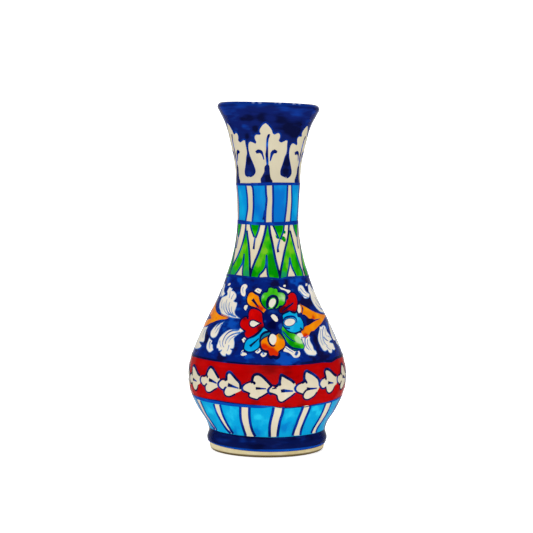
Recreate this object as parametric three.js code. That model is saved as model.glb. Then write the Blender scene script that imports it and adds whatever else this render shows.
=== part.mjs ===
// Hand-thrown pottery vase: a pear-shaped belly on a turned foot, a slim neck and a trumpet mouth.
//
// Frame: millimetres, +Z up, origin at the centre of the foot's resting plane, front towards -Y.
// The clay is thrown in five sections and luted together. Each band of coloured glaze outside, and
// the lining inside, is a coat of its own over the clay.

import * as THREE from "three";

// Driving dimensions.
const facets = 32; // sides of every turned piece
const glazeThickness = 0.5; // every coat
const bond = 0.05; // layer where a coat is fused to the clay
const slip = 0.1; // liquid clay between two luted sections
const bevel = 3; // how far a luted joint slopes across the wall
const bellyWall = 6.4; // clay and glazes together, below the shoulder
const neckWall = 5.2; // clay and glazes together, above it
const wallThinsFrom = 62;
const wallThinsTo = 152;

const footWidth = 41; // radius of the bare edge that stands on the table
const footHollow = 33; // radius of the hollow under the foot
const footChamfer = 0.8;
const hollowDepth = 10.5;
const floorThickness = 6.5;
const floorRadius = 32; // the inside is flat up to here
const heelRadius = 38.5; // then rounds up through this point to the wall
const heelRise = 3.8;

const lipRadius = 3.2; // half of the rolled lip's thickness
const lipCentre = { r: 34.4, z: 252.8 };
const lipSweep = { from: -20, to: 156, steps: 7 }; // degrees round the lip, outside to inside

const rimTilt = 1.6; // degrees, the rim is lower on the right
const tiltFrom = 214;
const tiltTo = 254;

// Heights where one glaze band meets the next.
const glazeEdge = 5;
const footTop = 15.5;
const stripesTop = 40;
const garlandTop = 69.5;
const fieldTop = 129.5;
const leavesTop = 169;
const neckTop = 197.3;
const widest = 54;
const liningTop = 242;
const lipFoot = 248;
const heelTop = 29; // the inner wall starts here, above the heel

// Glazed outline, bottom to top, as [height, radius].
const outline = [
  [glazeEdge, 43.3],
  [9, 44.7],
  [footTop, 43.2],
  [22, 45.4],
  [heelTop, 50],
  [34, 52.7],
  [stripesTop, 55.6],
  [46, 57.6],
  [widest, 58.5],
  [62, 58],
  [garlandTop, 56.5],
  [79, 52.8],
  [89, 48.3],
  [99, 43.6],
  [108, 38.9],
  [118, 34.5],
  [fieldTop, 30.4],
  [139, 27.2],
  [149, 24.9],
  [159, 23.15],
  [leavesTop, 22.4],
  [183, 22.7],
  [neckTop, 23.6],
  [208, 24.1],
  [217, 25.5],
  [226, 27.5],
  [235, 29.8],
  [liningTop, 32.3],
  [lipFoot, 35.4],
];

// Glazes and clay.
const clay = new THREE.MeshStandardMaterial({ color: 0xc7b487, roughness: 0.85, metalness: 0 });
const glaze = (color) => new THREE.MeshStandardMaterial({ color, roughness: 0.15, metalness: 0 });
const cobalt = glaze(0x041b65);
const turquoise = glaze(0x01aadc);
const red = glaze(0xb10200);
const cream = glaze(0xe0d5b4);

// The glazed face, set in by a depth, as [radius, height] from bottom to top.
const outerFace = (depth) => outline.map(([z, radius]) => [radius - depth, z]);

// The inner wall above the heel, set back from the lined face by a depth.
function innerFace(depth) {
  const wallStations = outline.filter(([z]) => z >= heelTop);
  return wallStations.map(([z, radius]) => {
    const thinning = THREE.MathUtils.smoothstep(z, wallThinsFrom, wallThinsTo);
    const wall = THREE.MathUtils.lerp(bellyWall, neckWall, thinning);
    return [radius - wall + depth, z];
  });
}

// The stretch of a face between two heights, cut exactly at both.
function stretch(face, from, to) {
  const pointAt = (height) => {
    const next = Math.max(1, face.findIndex(([, z]) => z >= height));
    const [[r0, z0], [r1, z1]] = [face[next - 1], face[next]];
    return [THREE.MathUtils.mapLinear(height, z0, z1, r0, r1), height];
  };
  const between = face.filter(([, z]) => z > from && z < to);
  return [pointAt(from), ...between, pointAt(to)];
}

// The rolled lip from outside to inside, set in from the glazed face by a depth.
function lip(depth) {
  const { from, to, steps } = lipSweep;
  return Array.from({ length: steps + 1 }, (_, step) => {
    const angle = THREE.MathUtils.degToRad(THREE.MathUtils.lerp(from, to, step / steps));
    const radius = lipRadius - depth;
    return [lipCentre.r + radius * Math.cos(angle), lipCentre.z + radius * Math.sin(angle)];
  });
}

// The inside of the floor and its rounded heel, set back from the lined face by a depth.
function floor(depth) {
  const top = hollowDepth + floorThickness;
  return [
    [0, top - depth],
    [floorRadius, top - depth],
    [heelRadius + depth, top + heelRise - depth],
  ];
}

const reversed = (points) => [...points].reverse();

// Closes a ring's outline on itself.
const ring = (points) => [...points, points[0]];

// The rim is not quite level, as it was cut on the wheel.
function tiltRim(geometry) {
  const position = geometry.getAttribute("position");
  const slope = Math.tan(THREE.MathUtils.degToRad(rimTilt));
  for (let i = 0; i < position.count; i += 1) {
    const x = position.getX(i);
    const z = position.getZ(i);
    const drop = slope * x * THREE.MathUtils.smoothstep(z, tiltFrom, tiltTo);
    position.setZ(i, z - drop);
  }
}

const vase = new THREE.Group();

function turn(name, material, profile) {
  const points = profile.map(([r, z]) => new THREE.Vector2(r, z));
  const geometry = new THREE.LatheGeometry(points, facets);
  geometry.rotateX(Math.PI / 2);
  tiltRim(geometry);
  const mesh = new THREE.Mesh(geometry, material);
  mesh.name = name;
  vase.add(mesh);
}

// Clay sections, bottom to top. Each joint slopes down towards the inside, with slip in it.
const clayDepth = glazeThickness + bond;
const body = (from, to) => stretch(outerFace(clayDepth), from, to);
const bore = (from, to) => reversed(stretch(innerFace(clayDepth), from, to));

turn("foot_ring", clay, ring([
  [footHollow, 0],
  [footWidth - footChamfer, 0],
  [footWidth, footChamfer],
  ...body(glazeEdge, footTop - slip),
  [footHollow, hollowDepth - slip],
]));

turn("lower_bowl", clay, [
  [0, hollowDepth],
  [footHollow, hollowDepth],
  ...body(footTop, widest),
  ...bore(heelTop, widest - bevel),
  ...reversed(floor(clayDepth)),
]);

for (const [name, from, to] of [["shoulder", widest, fieldTop], ["neck", fieldTop, neckTop]]) {
  const joined = bore(from - bevel + slip, to - bevel);
  turn(name, clay, ring([...body(from + slip, to), ...joined]));
}

turn("flared_mouth", clay, ring([
  ...body(neckTop + slip, lipFoot),
  ...lip(clayDepth),
  ...bore(neckTop - bevel + slip, lipFoot),
]));

// Coats of glaze outside, bottom to top.
function coat(name, material, from, to) {
  const face = stretch(outerFace(0), from, to);
  const back = stretch(outerFace(glazeThickness), from, to);
  turn(name, material, ring([...face, ...reversed(back)]));
}

coat("foot_coat", cobalt, glazeEdge, footTop);
coat("lower_stripe_coat", turquoise, footTop, stripesTop);
coat("garland_coat", red, stripesTop, garlandTop);
coat("flower_field_coat", cobalt, garlandTop, fieldTop);
coat("leaf_band_coat", cream, fieldTop, leavesTop);
coat("neck_stripe_coat", turquoise, leavesTop, neckTop);

// The collar's cobalt rolls over the lip and ends a little way down the inside.
turn("collar_coat", cobalt, ring([
  ...stretch(outerFace(0), neckTop, lipFoot),
  ...lip(0),
  ...reversed(stretch(innerFace(0), liningTop, lipFoot)),
  ...stretch(innerFace(glazeThickness), liningTop, lipFoot),
  ...reversed(lip(glazeThickness)),
  ...reversed(stretch(outerFace(glazeThickness), neckTop, lipFoot)),
]));

turn("lining_coat", cream, [
  ...floor(glazeThickness),
  ...stretch(innerFace(glazeThickness), heelTop, liningTop),
  ...reversed(stretch(innerFace(0), heelTop, liningTop)),
  ...reversed(floor(0)),
]);

export default vase;
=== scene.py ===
"""Hand-painted pottery vase: turned clay, bands of coloured glaze, and brushed motifs laid round it."""
import bisect
import math

import bmesh
import bpy
from mathutils import Matrix, Vector, geometry


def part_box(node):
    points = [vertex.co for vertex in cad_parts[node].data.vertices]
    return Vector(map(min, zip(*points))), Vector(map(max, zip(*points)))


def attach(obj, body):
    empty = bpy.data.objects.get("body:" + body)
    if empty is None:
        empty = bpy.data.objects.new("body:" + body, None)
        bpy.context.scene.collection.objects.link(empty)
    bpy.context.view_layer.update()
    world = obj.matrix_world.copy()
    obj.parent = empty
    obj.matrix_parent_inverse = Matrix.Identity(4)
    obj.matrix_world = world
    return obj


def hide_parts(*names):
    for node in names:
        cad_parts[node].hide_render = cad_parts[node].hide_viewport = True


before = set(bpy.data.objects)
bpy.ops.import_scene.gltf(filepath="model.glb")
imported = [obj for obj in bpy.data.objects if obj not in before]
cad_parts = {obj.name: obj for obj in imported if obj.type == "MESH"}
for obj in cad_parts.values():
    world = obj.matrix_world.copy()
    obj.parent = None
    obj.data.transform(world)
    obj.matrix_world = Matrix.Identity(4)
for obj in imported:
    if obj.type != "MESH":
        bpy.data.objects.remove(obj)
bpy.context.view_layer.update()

MM = 0.001  # the frame is in metres, the drawing in millimetres
FACETS = 240  # sides of every turned piece
ROW = 1.5  # height of one row of faces on a band
GLAZE = 0.5  # thickness of a coat
BOND = 0.05  # between a coat and the clay
PAINT_LIFT = 0.12  # a painted shape stands this proud of the band under it
UNDER_LIFT = 0.09  # an outline that the paint has half flooded
RING_LIFT = 0.2  # a ring line, over the ends of the motifs
LINE_HEIGHT = 0.16  # a brush line is this much of its half width high
SPREAD = 1.3  # and spreads this much wider in the kiln than it was brushed
SUNK = 0.12  # paint reaches this far into the band
CELL = 2.0  # painted shapes are cut to follow the curve of the vase
SHEEN = 0.32  # how strongly the glazes mirror the room
CORNER = math.radians(72)  # a sharper turn in an outline stays a corner

LIP_RADIUS = 3.2  # half the thickness of the rolled lip
LIP_FOOT = 248.0  # height where the lip springs from the wall
THROAT = 26.0  # radius where the cobalt ends inside the mouth
TILT_FROM = 214.0  # the rim's tilt grows from this height
TILT_TO = 254.0  # to this one
DRUM = 40.0  # bands are spun on a plain drum of this radius, then laid on the vase
LAPS = (-360, 0, 360)  # a line that closes on itself is read over three laps


# ---------------------------------------------------------------- shape, read from the CAD

def front_points(node, pick):
    """What a CAD node has straight in front, as (height, radius), one radius picked at each height."""
    radii = {}
    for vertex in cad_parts[node].data.vertices:
        x, y, z = vertex.co / MM
        if y < 0 and abs(x) < 1:
            radii.setdefault(round(z, 1), []).append(-y)
    return [(height, pick(radii[height])) for height in sorted(radii)]


def span(node):
    """The heights between which a band lies."""
    low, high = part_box(node)
    return low.z / MM, high.z / MM


class Curve:
    """A smooth radius over height through the stations of the CAD."""

    def __init__(self, stations):
        self.heights, self.radii = zip(*sorted(stations))
        last = len(self.heights) - 1
        self.slopes = []
        for i in range(last + 1):
            a, b = max(i - 1, 0), min(i + 1, last)
            self.slopes.append((self.radii[b] - self.radii[a]) / (self.heights[b] - self.heights[a]))

    def __call__(self, height):
        i = bisect.bisect(self.heights, height) - 1
        i = min(max(i, 0), len(self.heights) - 2)
        run = self.heights[i + 1] - self.heights[i]
        t = (height - self.heights[i]) / run
        if t < 0 or t > 1:
            end = i if t < 0 else i + 1
            return self.radii[end] + self.slopes[end] * (height - self.heights[end])
        a = (2 * t ** 3 - 3 * t ** 2 + 1) * self.radii[i] + (t ** 3 - 2 * t ** 2 + t) * run * self.slopes[i]
        b = (3 * t ** 2 - 2 * t ** 3) * self.radii[i + 1] + (t ** 3 - t ** 2) * run * self.slopes[i + 1]
        return a + b

    def slope(self, height):
        return (self(height + 0.2) - self(height - 0.2)) / 0.4


BANDS = ["foot_coat", "lower_stripe_coat", "garland_coat", "flower_field_coat", "leaf_band_coat",
         "neck_stripe_coat", "collar_coat"]
collar_points = front_points("collar_coat", max)
lip_points = [point for point in collar_points if point[0] > LIP_FOOT + 0.5]
wall_points = {}
for band in BANDS:
    wall_points.update(point for point in front_points(band, max) if point[0] < LIP_FOOT + 0.5)
wall_points.update([lip_points[0]])
outside = Curve(wall_points.items())
inside = Curve([point for point in front_points("lining_coat", min) if point[1] > 1 and point[0] > 25]
               + [point for point in front_points("collar_coat", min) if point[0] < LIP_FOOT + 0.5
                  and point[0] > span("lining_coat")[1]])
LIP_TOP = max(height for height, _ in lip_points)
LIP_EDGE = max(radius for _, radius in lip_points)
rim_low, rim_high = span("collar_coat")
RIM_DROP = (rim_high - LIP_TOP) / (LIP_EDGE - LIP_RADIUS)
COBALT_END = span("lining_coat")[1] - RIM_DROP * THROAT  # height inside, before the rim is tilted


def smoothstep(value, low, high):
    t = min(max((value - low) / (high - low), 0), 1)
    return t * t * (3 - 2 * t)


def in_space(angle, radius, height):
    """A point of the vase in metres: angle 0 is the front, and the rim dips a little to the right."""
    x = radius * math.sin(angle)
    drop = RIM_DROP * x * smoothstep(height, TILT_FROM, TILT_TO)
    return Vector((x, -radius * math.cos(angle), height - drop)) * MM


def on_glaze(angle, height, lift):
    """A point over the glazed outside, lifted straight off it."""
    slope = outside.slope(height)
    along = 1 / math.hypot(1, slope)
    return in_space(angle, outside(height) + lift * along, height - lift * slope * along)


# ---------------------------------------------------------------- glazes

class Value:
    """A shader number that can be written in a sum."""

    def __init__(self, recipe, socket):
        self.recipe = recipe
        self.socket = socket

    def _math(self, operation, *values):
        sockets = {i: value.socket if isinstance(value, Value) else value for i, value in enumerate(values)}
        made = self.recipe.node("ShaderNodeMath", {"operation": operation}, sockets)
        return Value(self.recipe, made.outputs[0])

    def __add__(self, other):
        return self._math("ADD", self, other)

    def __radd__(self, other):
        return self._math("ADD", other, self)

    def __sub__(self, other):
        return self._math("SUBTRACT", self, other)

    def __rsub__(self, other):
        return self._math("SUBTRACT", other, self)

    def __mul__(self, other):
        return self._math("MULTIPLY", self, other)

    def __rmul__(self, other):
        return self._math("MULTIPLY", other, self)

    def between(self, low, high):
        """0 below low, 1 above high, smooth in between."""
        made = self.recipe.node("ShaderNodeMapRange", {"interpolation_type": "SMOOTHSTEP"},
                                {"Value": self.socket, "From Min": low, "From Max": high})
        return Value(self.recipe, made.outputs[0])


class Recipe:
    """One glaze or clay, as a shader."""

    def __init__(self, name):
        self.material = bpy.data.materials.new(name)
        self.material.use_nodes = True
        self.tree = self.material.node_tree
        self.shader = next(n for n in self.tree.nodes if n.type == "BSDF_PRINCIPLED")
        self.shader.inputs["Specular IOR Level"].default_value = SHEEN
        self.place = self.node("ShaderNodeTexCoord").outputs["Object"]

    def node(self, kind, settings=None, sockets=None):
        made = self.tree.nodes.new(kind)
        for name, setting in (settings or {}).items():
            setattr(made, name, setting)
        self.fill(made, sockets or {})
        return made

    def fill(self, node, sockets):
        for name, value in sockets.items():
            value = value.socket if isinstance(value, Value) else value
            if isinstance(value, bpy.types.NodeSocket):
                self.tree.links.new(value, node.inputs[name])
            else:
                node.inputs[name].default_value = value

    def noise(self, size, stretch=(1, 1, 1), detail=2.0):
        """Soft patches of a size in millimetres, drawn out along an axis by a stretch above 1."""
        scale = [1 / (size * MM * s) for s in stretch]
        mapped = self.node("ShaderNodeMapping", {}, {"Vector": self.place, "Scale": scale})
        sockets = {"Vector": mapped.outputs[0], "Scale": 1.0, "Detail": detail}
        made = self.node("ShaderNodeTexNoise", {}, sockets)
        return Value(self, made.outputs[0])

    def attribute(self, name):
        return Value(self, self.node("ShaderNodeAttribute", {"attribute_name": name}).outputs["Fac"])

    def mix(self, amount, first, second):
        made = self.node("ShaderNodeMix", {"data_type": "RGBA"}, {0: amount, 6: first, 7: second})
        return made.outputs[2]

    def finish(self, colour, roughness, height, depth):
        """Sets what varies over the surface; the height is pressed in by a depth in millimetres."""
        bump = self.node("ShaderNodeBump", {}, {"Strength": 1.0, "Distance": depth * MM, "Height": height})
        self.fill(self.shader, {"Base Color": colour, "Roughness": roughness, "Normal": bump.outputs[0]})
        return self.material


def pigment(red, green, blue):
    """A paint's colour, from 0 to 255 as it looks, as light."""
    light = [((c / 255 + 0.055) / 1.055) ** 2.4 if c > 10 else c / 255 / 12.92 for c in (red, green, blue)]
    return (*light, 1.0)


def glaze(name, body, deep, light, stroke=(1, 1, 1), size=9, uneven=1.0, gloss=0.12, tint=None):
    """Glaze brushed on: a body colour, deeper where it pools, lighter where the brush ran thin, and
    tinted where a second colour was touched into it."""
    recipe = Recipe(name)
    brush = recipe.noise(size, stroke, 3)
    cloud = recipe.noise(size * 3.1)
    fine = recipe.noise(0.9, detail=1)
    wash = recipe.attribute("wash")
    tone = wash + (brush - 0.5) * (2.6 * uneven) + (cloud - 0.5) * (1.6 * uneven)
    deepened = recipe.mix((0 - tone).between(0.08, 0.9), body, deep)
    colour = recipe.mix(tone.between(0.08, 0.9), deepened, light)
    if tint:
        touched = recipe.attribute("tint") + (brush - 0.5) * 0.8
        colour = recipe.mix(touched.between(0.25, 0.8), colour, tint)
    roughness = gloss + (fine - 0.5) * 0.08 + (brush - 0.5) * 0.08
    height = brush * 0.55 + cloud * 0.35 + fine * 0.1
    return recipe.finish(colour, roughness, height, 0.22)


AROUND = (2.6, 2.6, 0.5)  # brush strokes that run round the vase
UPRIGHT = (0.7, 0.7, 3.2)  # and ones that run up it

COBALT = glaze("cobalt", pigment(10, 26, 92), pigment(7, 13, 54), pigment(8, 50, 140), AROUND, 7, 0.9,
               tint=pigment(150, 168, 218))
FIELD = glaze("field cobalt", pigment(3, 32, 120), pigment(14, 14, 64), pigment(6, 74, 178), (1.3, 1.3, 0.8),
              5, 1.2)
NAVY = glaze("navy", pigment(6, 20, 78), pigment(4, 9, 52), pigment(10, 44, 126), AROUND, 6, 0.8)
OUTLINE = glaze("outline blue", pigment(4, 40, 128), pigment(6, 16, 78), pigment(14, 82, 178),
                size=8, uneven=0.8)
DARK_LINE = glaze("dark outline", pigment(6, 14, 66), pigment(8, 4, 28), pigment(8, 52, 140),
                  size=8, uneven=0.8)
BRIGHT_LINE = glaze("bright outline", pigment(2, 46, 142), pigment(4, 24, 96), pigment(12, 92, 190), size=8,
                    uneven=0.8)
MID_BLUE = glaze("mid blue", pigment(0, 66, 166), pigment(0, 36, 118), pigment(16, 104, 204), AROUND, 6, 0.9)
TEAL = glaze("teal", pigment(8, 118, 156), pigment(4, 88, 132), pigment(20, 146, 190), size=5)
EYE_BLUE = glaze("eye blue", pigment(3, 18, 96), pigment(3, 6, 58), pigment(24, 74, 164), size=6, uneven=0.6)
STALK_BLUE = glaze("stalk blue", pigment(30, 84, 176), pigment(8, 34, 110), pigment(96, 142, 210), size=4)
VEIN_BLUE = glaze("vein blue", pigment(76, 126, 200), pigment(24, 74, 160), pigment(142, 176, 218), size=5)
SKY = glaze("neck turquoise", pigment(0, 136, 205), pigment(0, 108, 194), pigment(4, 166, 216),
            UPRIGHT, 7, 0.6)
TURQUOISE = glaze("turquoise", pigment(0, 156, 208), pigment(0, 122, 194), pigment(24, 186, 222),
                  UPRIGHT, 6, 0.9)
PETAL_BLUE = glaze("petal turquoise", pigment(2, 168, 228), pigment(0, 112, 190), pigment(60, 196, 240),
                   size=6, uneven=0.6)
RED = glaze("red", pigment(176, 0, 1), pigment(134, 0, 1), pigment(194, 2, 3), AROUND, 10, 0.8)
PETAL_RED = glaze("petal red", pigment(202, 2, 3), pigment(96, 2, 8), pigment(222, 8, 6), size=6, uneven=0.6)
GREEN = glaze("green", pigment(40, 176, 4), pigment(0, 142, 2), pigment(112, 190, 30), UPRIGHT, 5, 0.9,
              tint=pigment(20, 150, 92))
PALE_GREEN = glaze("petal green", pigment(66, 190, 26), pigment(2, 146, 6), pigment(180, 222, 160), size=6,
                   uneven=0.6)
ORANGE = glaze("orange", pigment(243, 134, 2), pigment(216, 44, 2), pigment(255, 166, 10), size=6, uneven=0.7,
               tint=pigment(136, 116, 36))
CREAM = glaze("cream", pigment(224, 213, 182), pigment(208, 196, 160), pigment(236, 228, 206),
              UPRIGHT, 8, 0.6)
# The next two creams are darker copies of the cream: partly duller paint, partly painted shade on the collar
# and the lower stripes, which face down.
SHADED_WARM_CREAM = glaze("shaded warm cream", pigment(214, 204, 178), pigment(202, 192, 160), pigment(230, 222, 200),
                   UPRIGHT, 8, 0.7)
SHADED_DULL_CREAM = glaze("shaded dull cream", pigment(202, 193, 167), pigment(192, 182, 150), pigment(216, 208, 186),
                   UPRIGHT, 8, 0.6)
WHITE = glaze("white", pigment(238, 231, 214), pigment(206, 208, 206), pigment(250, 246, 236),
              size=7, uneven=0.9, tint=pigment(150, 176, 216))


def bare_clay():
    """Fired clay with no glaze: matt, speckled and finely pitted."""
    recipe = Recipe("bare clay")
    grit = recipe.noise(0.5, detail=4)
    turning = recipe.noise(2.2, (6, 6, 0.35), 2)
    stain = recipe.noise(14, detail=3)
    colour = recipe.mix(stain.between(0.35, 0.7), pigment(216, 203, 162), pigment(198, 178, 128))
    colour = recipe.mix(grit.between(0.62, 0.72) * 0.5, colour, pigment(130, 104, 70))
    # The foot turns dark olive-brown up to 1.5 mm from the bottom, fading out by 2.5 mm.
    height = recipe.node("ShaderNodeSeparateXYZ", {}, {"Vector": recipe.place}).outputs["Z"]
    dark_base_band = 1 - Value(recipe, height).between(1.5 * MM, 2.5 * MM)
    colour = recipe.mix(dark_base_band * 0.92, colour, pigment(70, 52, 12))
    return recipe.finish(colour, 0.78 + grit * 0.15, grit * 0.4 + turning * 0.6, 0.15)


CLAY = bare_clay()


# ---------------------------------------------------------------- making pieces

def keep(bm, name, material, replaces=None):
    """Turns a finished mesh into a piece of the vase."""
    mesh = bpy.data.meshes.new(name)
    bm.to_mesh(mesh)
    bm.free()
    mesh.materials.append(material)
    for polygon in mesh.polygons:
        polygon.use_smooth = True
    mesh.set_sharp_from_angle(angle=math.radians(42))
    piece = bpy.data.objects.new(name, mesh)
    bpy.context.scene.collection.objects.link(piece)
    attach(piece, "root")
    if replaces:
        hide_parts(replaces)
    return piece


def spun(profile, closed):
    """Spins an outline of (radius, height) once round the axis."""
    bm = bmesh.new()
    points = [bm.verts.new((0, -radius, height)) for radius, height in profile]
    pairs = list(zip(points, points[1:] + points[:1])) if closed else list(zip(points, points[1:]))
    edges = [bm.edges.new(pair) for pair in pairs]
    bmesh.ops.spin(bm, geom=points + edges, cent=(0, 0, 0), axis=(0, 0, 1), angle=math.tau,
                   steps=FACETS, use_merge=True)
    bmesh.ops.remove_doubles(bm, verts=bm.verts, dist=1e-4)
    bmesh.ops.recalc_face_normals(bm, faces=bm.faces)
    return bm


def around(vertex):
    """The angle of a vertex round the axis, 0 in front and growing to the right."""
    return math.atan2(vertex.co.x, -vertex.co.y)


def stations(low, high, step):
    count = max(1, math.ceil((high - low) / step))
    return [low + (high - low) * i / count for i in range(count + 1)]


class Border:
    """Where two bands meet: a height, and how far the brush strayed from it at some angles."""

    def __init__(self, height, strays):
        self.height = height
        self.stray = Curve([(turn + lap, stray) for lap in LAPS for turn, stray in strays.items()])

    def shift(self, angle):
        return self.stray(math.degrees(angle))


foot_low, foot_high = span("foot_coat")
BORDERS = [
    Border(foot_low, {-150: 0.2, -70: 1.3, -45: 0.7, -15: -0.2, 20: -0.5, 60: -0.3, 120: 0.2}),
    Border(foot_high, {-140: 0.2, -70: 1.1, -45: 0.7, -15: -0.1, 15: -0.3, 50: -0.2, 110: 0.3}),
    Border(span("garland_coat")[0], {-130: 0.8, -75: 1.8, -42: 1.6, -25: 0.8, -8: 0.3, 4: -0.3, 8: -1.3,
                                     16: -2.0, 24: -1.6, 30: -1.9, 36: -0.9, 52: 0.0, 75: 1.0}),
    Border(span("flower_field_coat")[0], {-120: 0.2, -60: 1.0, -40: 0.6, -20: 0.0, 0: -0.3, 14: -0.8,
                                          30: -0.5, 45: -0.2, 55: -1.0, 64: 0.4, 110: 0.4}),
    Border(span("leaf_band_coat")[0], {-110: 0.3, -60: 0.9, -35: 0.6, -12: -0.1, 0: 0.2, 16: -0.4,
                                       30: 0.3, 60: 0.2, 100: -0.2}),
    Border(span("neck_stripe_coat")[0], {-110: 0.1, -60: 0.2, -20: -0.3, 10: -0.4, 50: -0.2, 100: 0.1}),
    Border(span("collar_coat")[0], {-100: -0.6, -50: -1.0, -10: -0.7, 20: -0.5, 60: -0.5, 110: -0.5}),
]


def tone_at(x, height, dabs):
    """How much lighter or darker the paint is at a place; a dab is (x, height, size, tone)."""
    return sum(tone * math.exp(-((x - a) ** 2 + (height - b) ** 2) / size ** 2) for a, b, size, tone in dabs)


def band_coat(node, below, above, material, dabs=()):
    """A band's ground: a thin shell between two borders, each as wavy as the brush left it."""
    rows = stations(below.height, above.height, ROW)
    bm = spun([(DRUM + GLAZE, z) for z in rows] + [(DRUM, z) for z in reversed(rows)], True)
    wash = bm.verts.layers.float.new("wash")
    for vertex in bm.verts:
        angle, height = around(vertex), vertex.co.z
        inner = math.hypot(vertex.co.x, vertex.co.y) < DRUM + GLAZE / 2
        part = (height - below.height) / (above.height - below.height)
        height += below.shift(angle) * (1 - part) + above.shift(angle) * part
        vertex[wash] = tone_at(angle * outside(height), height, dabs)
        vertex.co = on_glaze(angle, height, -GLAZE if inner else 0)
    return keep(bm, node + "_glaze", material, node)


def ring_line(name, material, border, places, lift=PAINT_LIFT):
    """A brush line round the vase by a border; places are (angle, rise, width), the border being rise 0."""
    rise = Curve([(turn + lap, up) for lap in LAPS for turn, up, _ in places])
    wide = Curve([(turn + lap, width) for lap in LAPS for turn, _, width in places])
    section = [(math.cos(math.tau * i / 8), math.sin(math.tau * i / 8)) for i in range(8)]
    bm = spun([(DRUM + x, z) for x, z in section], True)
    for vertex in bm.verts:
        angle = around(vertex)
        turn = math.degrees(angle)
        depth = math.hypot(vertex.co.x, vertex.co.y) - DRUM
        height = border.height + border.shift(angle) + rise(turn) + vertex.co.z * max(wide(turn), 0.1) / 2
        vertex.co = on_glaze(angle, height, lift + (0.1 if depth > 0 else 0.3) * depth)
    return keep(bm, name, material)


def rounded(points, closed, step=1.0):
    """A smooth line through given points of (x, y) or (x, y, width); sharp turns stay corners."""
    knots = [Vector((p[0], p[1], p[2] if len(p) > 2 else 0)) for p in points]
    last = len(knots) - 1
    tangents = []
    for i, knot in enumerate(knots):
        if not closed and i in (0, last):
            tangents.append(Vector())
            continue
        into = (knot - knots[i - 1]).xy
        out = (knots[(i + 1) % len(knots)] - knot).xy
        turn = into.angle(out, 0)
        tangent = (into.normalized() + out.normalized()).normalized() if turn < CORNER else Vector((0, 0))
        tangents.append(tangent.to_3d())
    line = []
    for i in range(last + 1 if closed else last):
        j = (i + 1) % len(knots)
        length = (knots[j].xy - knots[i].xy).length
        reach = length / 3
        steps = max(2, math.ceil(length / step))
        line += geometry.interpolate_bezier(knots[i], knots[i] + tangents[i] * reach,
                                            knots[j] - tangents[j] * reach, knots[j], steps + 1)[:-1]
    return line if closed else line + [knots[-1]]


def inked(points, thin, thick):
    """An outline to brush in, thin at its foot and thick over its top."""
    low, high = min(p[1] for p in points), max(p[1] for p in points)
    return [(x, y, thin + (thick - thin) * smoothstep(y, low, high)) for x, y in points]


class Painted:
    """All of one paint in one motif, drawn flat as millimetres round and up, then laid round the vase."""

    def __init__(self, name, slot, material):
        self.name, self.slot, self.material = name, slot, material
        self.bm = bmesh.new()
        self.wash = self.bm.verts.layers.float.new("wash")
        self.tint = self.bm.verts.layers.float.new("tint")

    def lay(self, flat, turns, dabs=(), tints=()):
        """Lays a flat mesh round the vase at each turn, in degrees; dabs are (x, y, size, tone)."""
        for turn in turns:
            self.bm.verts.ensure_lookup_table()
            start = len(self.bm.verts)
            self.bm.from_mesh(flat)
            self.bm.verts.ensure_lookup_table()
            for vertex in self.bm.verts[start:]:
                x, height, lift = vertex.co
                vertex[self.wash] = tone_at(x, height, dabs)
                vertex[self.tint] = tone_at(x, height, tints)
                angle = math.radians(turn) + x / outside(height)
                vertex.co = on_glaze(angle, height, lift)

    def shape(self, points, turns=(0,), dabs=(), lift=PAINT_LIFT, step=1.0, tints=()):
        """A flat painted shape inside an outline."""
        flat = bmesh.new()
        rim = [flat.verts.new((p.x, p.y, lift)) for p in rounded(points, True, step)]
        edges = [flat.edges.new(pair) for pair in zip(rim, rim[1:] + rim[:1])]
        bmesh.ops.triangle_fill(flat, edges=edges, use_beauty=True)
        for axis in (0, 1):
            low, high = min(v.co[axis] for v in rim), max(v.co[axis] for v in rim)
            for cut in stations(low, high, CELL)[1:-1]:
                spot, normal = Vector(), Vector()
                spot[axis], normal[axis] = cut, 1
                bmesh.ops.bisect_plane(flat, geom=flat.verts[:] + flat.edges[:] + flat.faces[:],
                                       plane_co=spot, plane_no=normal)
        for face in flat.faces:
            if face.normal.z < 0:
                face.normal_flip()
        underside = bmesh.ops.extrude_face_region(flat, geom=flat.faces[:])["geom"]
        for item in underside:
            if isinstance(item, bmesh.types.BMVert):
                item.co.z = -SUNK
        bmesh.ops.recalc_face_normals(flat, faces=flat.faces)
        mesh = bpy.data.meshes.new("flat")
        flat.to_mesh(mesh)
        flat.free()
        self.lay(mesh, turns, dabs, tints)
        bpy.data.meshes.remove(mesh)

    def lines(self, strokes, turns=(0,), closed=False, width=None, lift=PAINT_LIFT, step=1.0, dabs=()):
        """Brush lines through points of (x, y, width), low-backed, on paint of a given lift."""
        curve = bpy.data.curves.new("line", "CURVE")
        curve.dimensions = "3D"
        curve.bevel_depth = 1.0
        curve.bevel_resolution = 1
        curve.use_fill_caps = True
        for stroke in strokes:
            if width is not None:
                stroke = [(p[0], p[1], width) for p in stroke]
            line = rounded(stroke, closed, step)
            spline = curve.splines.new("POLY")
            spline.points.add(len(line) - 1)
            spline.use_cyclic_u = closed
            for point, place in zip(spline.points, line):
                point.co = (place.x, place.y, 0, 1)
                point.radius = max(place.z, 0.15) / 2 * SPREAD
        brushed = bpy.data.objects.new("line", curve)
        bpy.context.scene.collection.objects.link(brushed)
        mesh = bpy.data.meshes.new_from_object(brushed.evaluated_get(bpy.context.evaluated_depsgraph_get()))
        bpy.data.objects.remove(brushed)
        bpy.data.curves.remove(curve)
        for vertex in mesh.vertices:
            up = vertex.co.z
            vertex.co.z = lift + up * LINE_HEIGHT if up > 0 else max(lift + up, -SUNK)
        self.lay(mesh, turns, dabs)
        bpy.data.meshes.remove(mesh)

    def finish(self):
        return keep(self.bm, self.name, self.material)


# ---------------------------------------------------------------- the turned pieces

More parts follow.
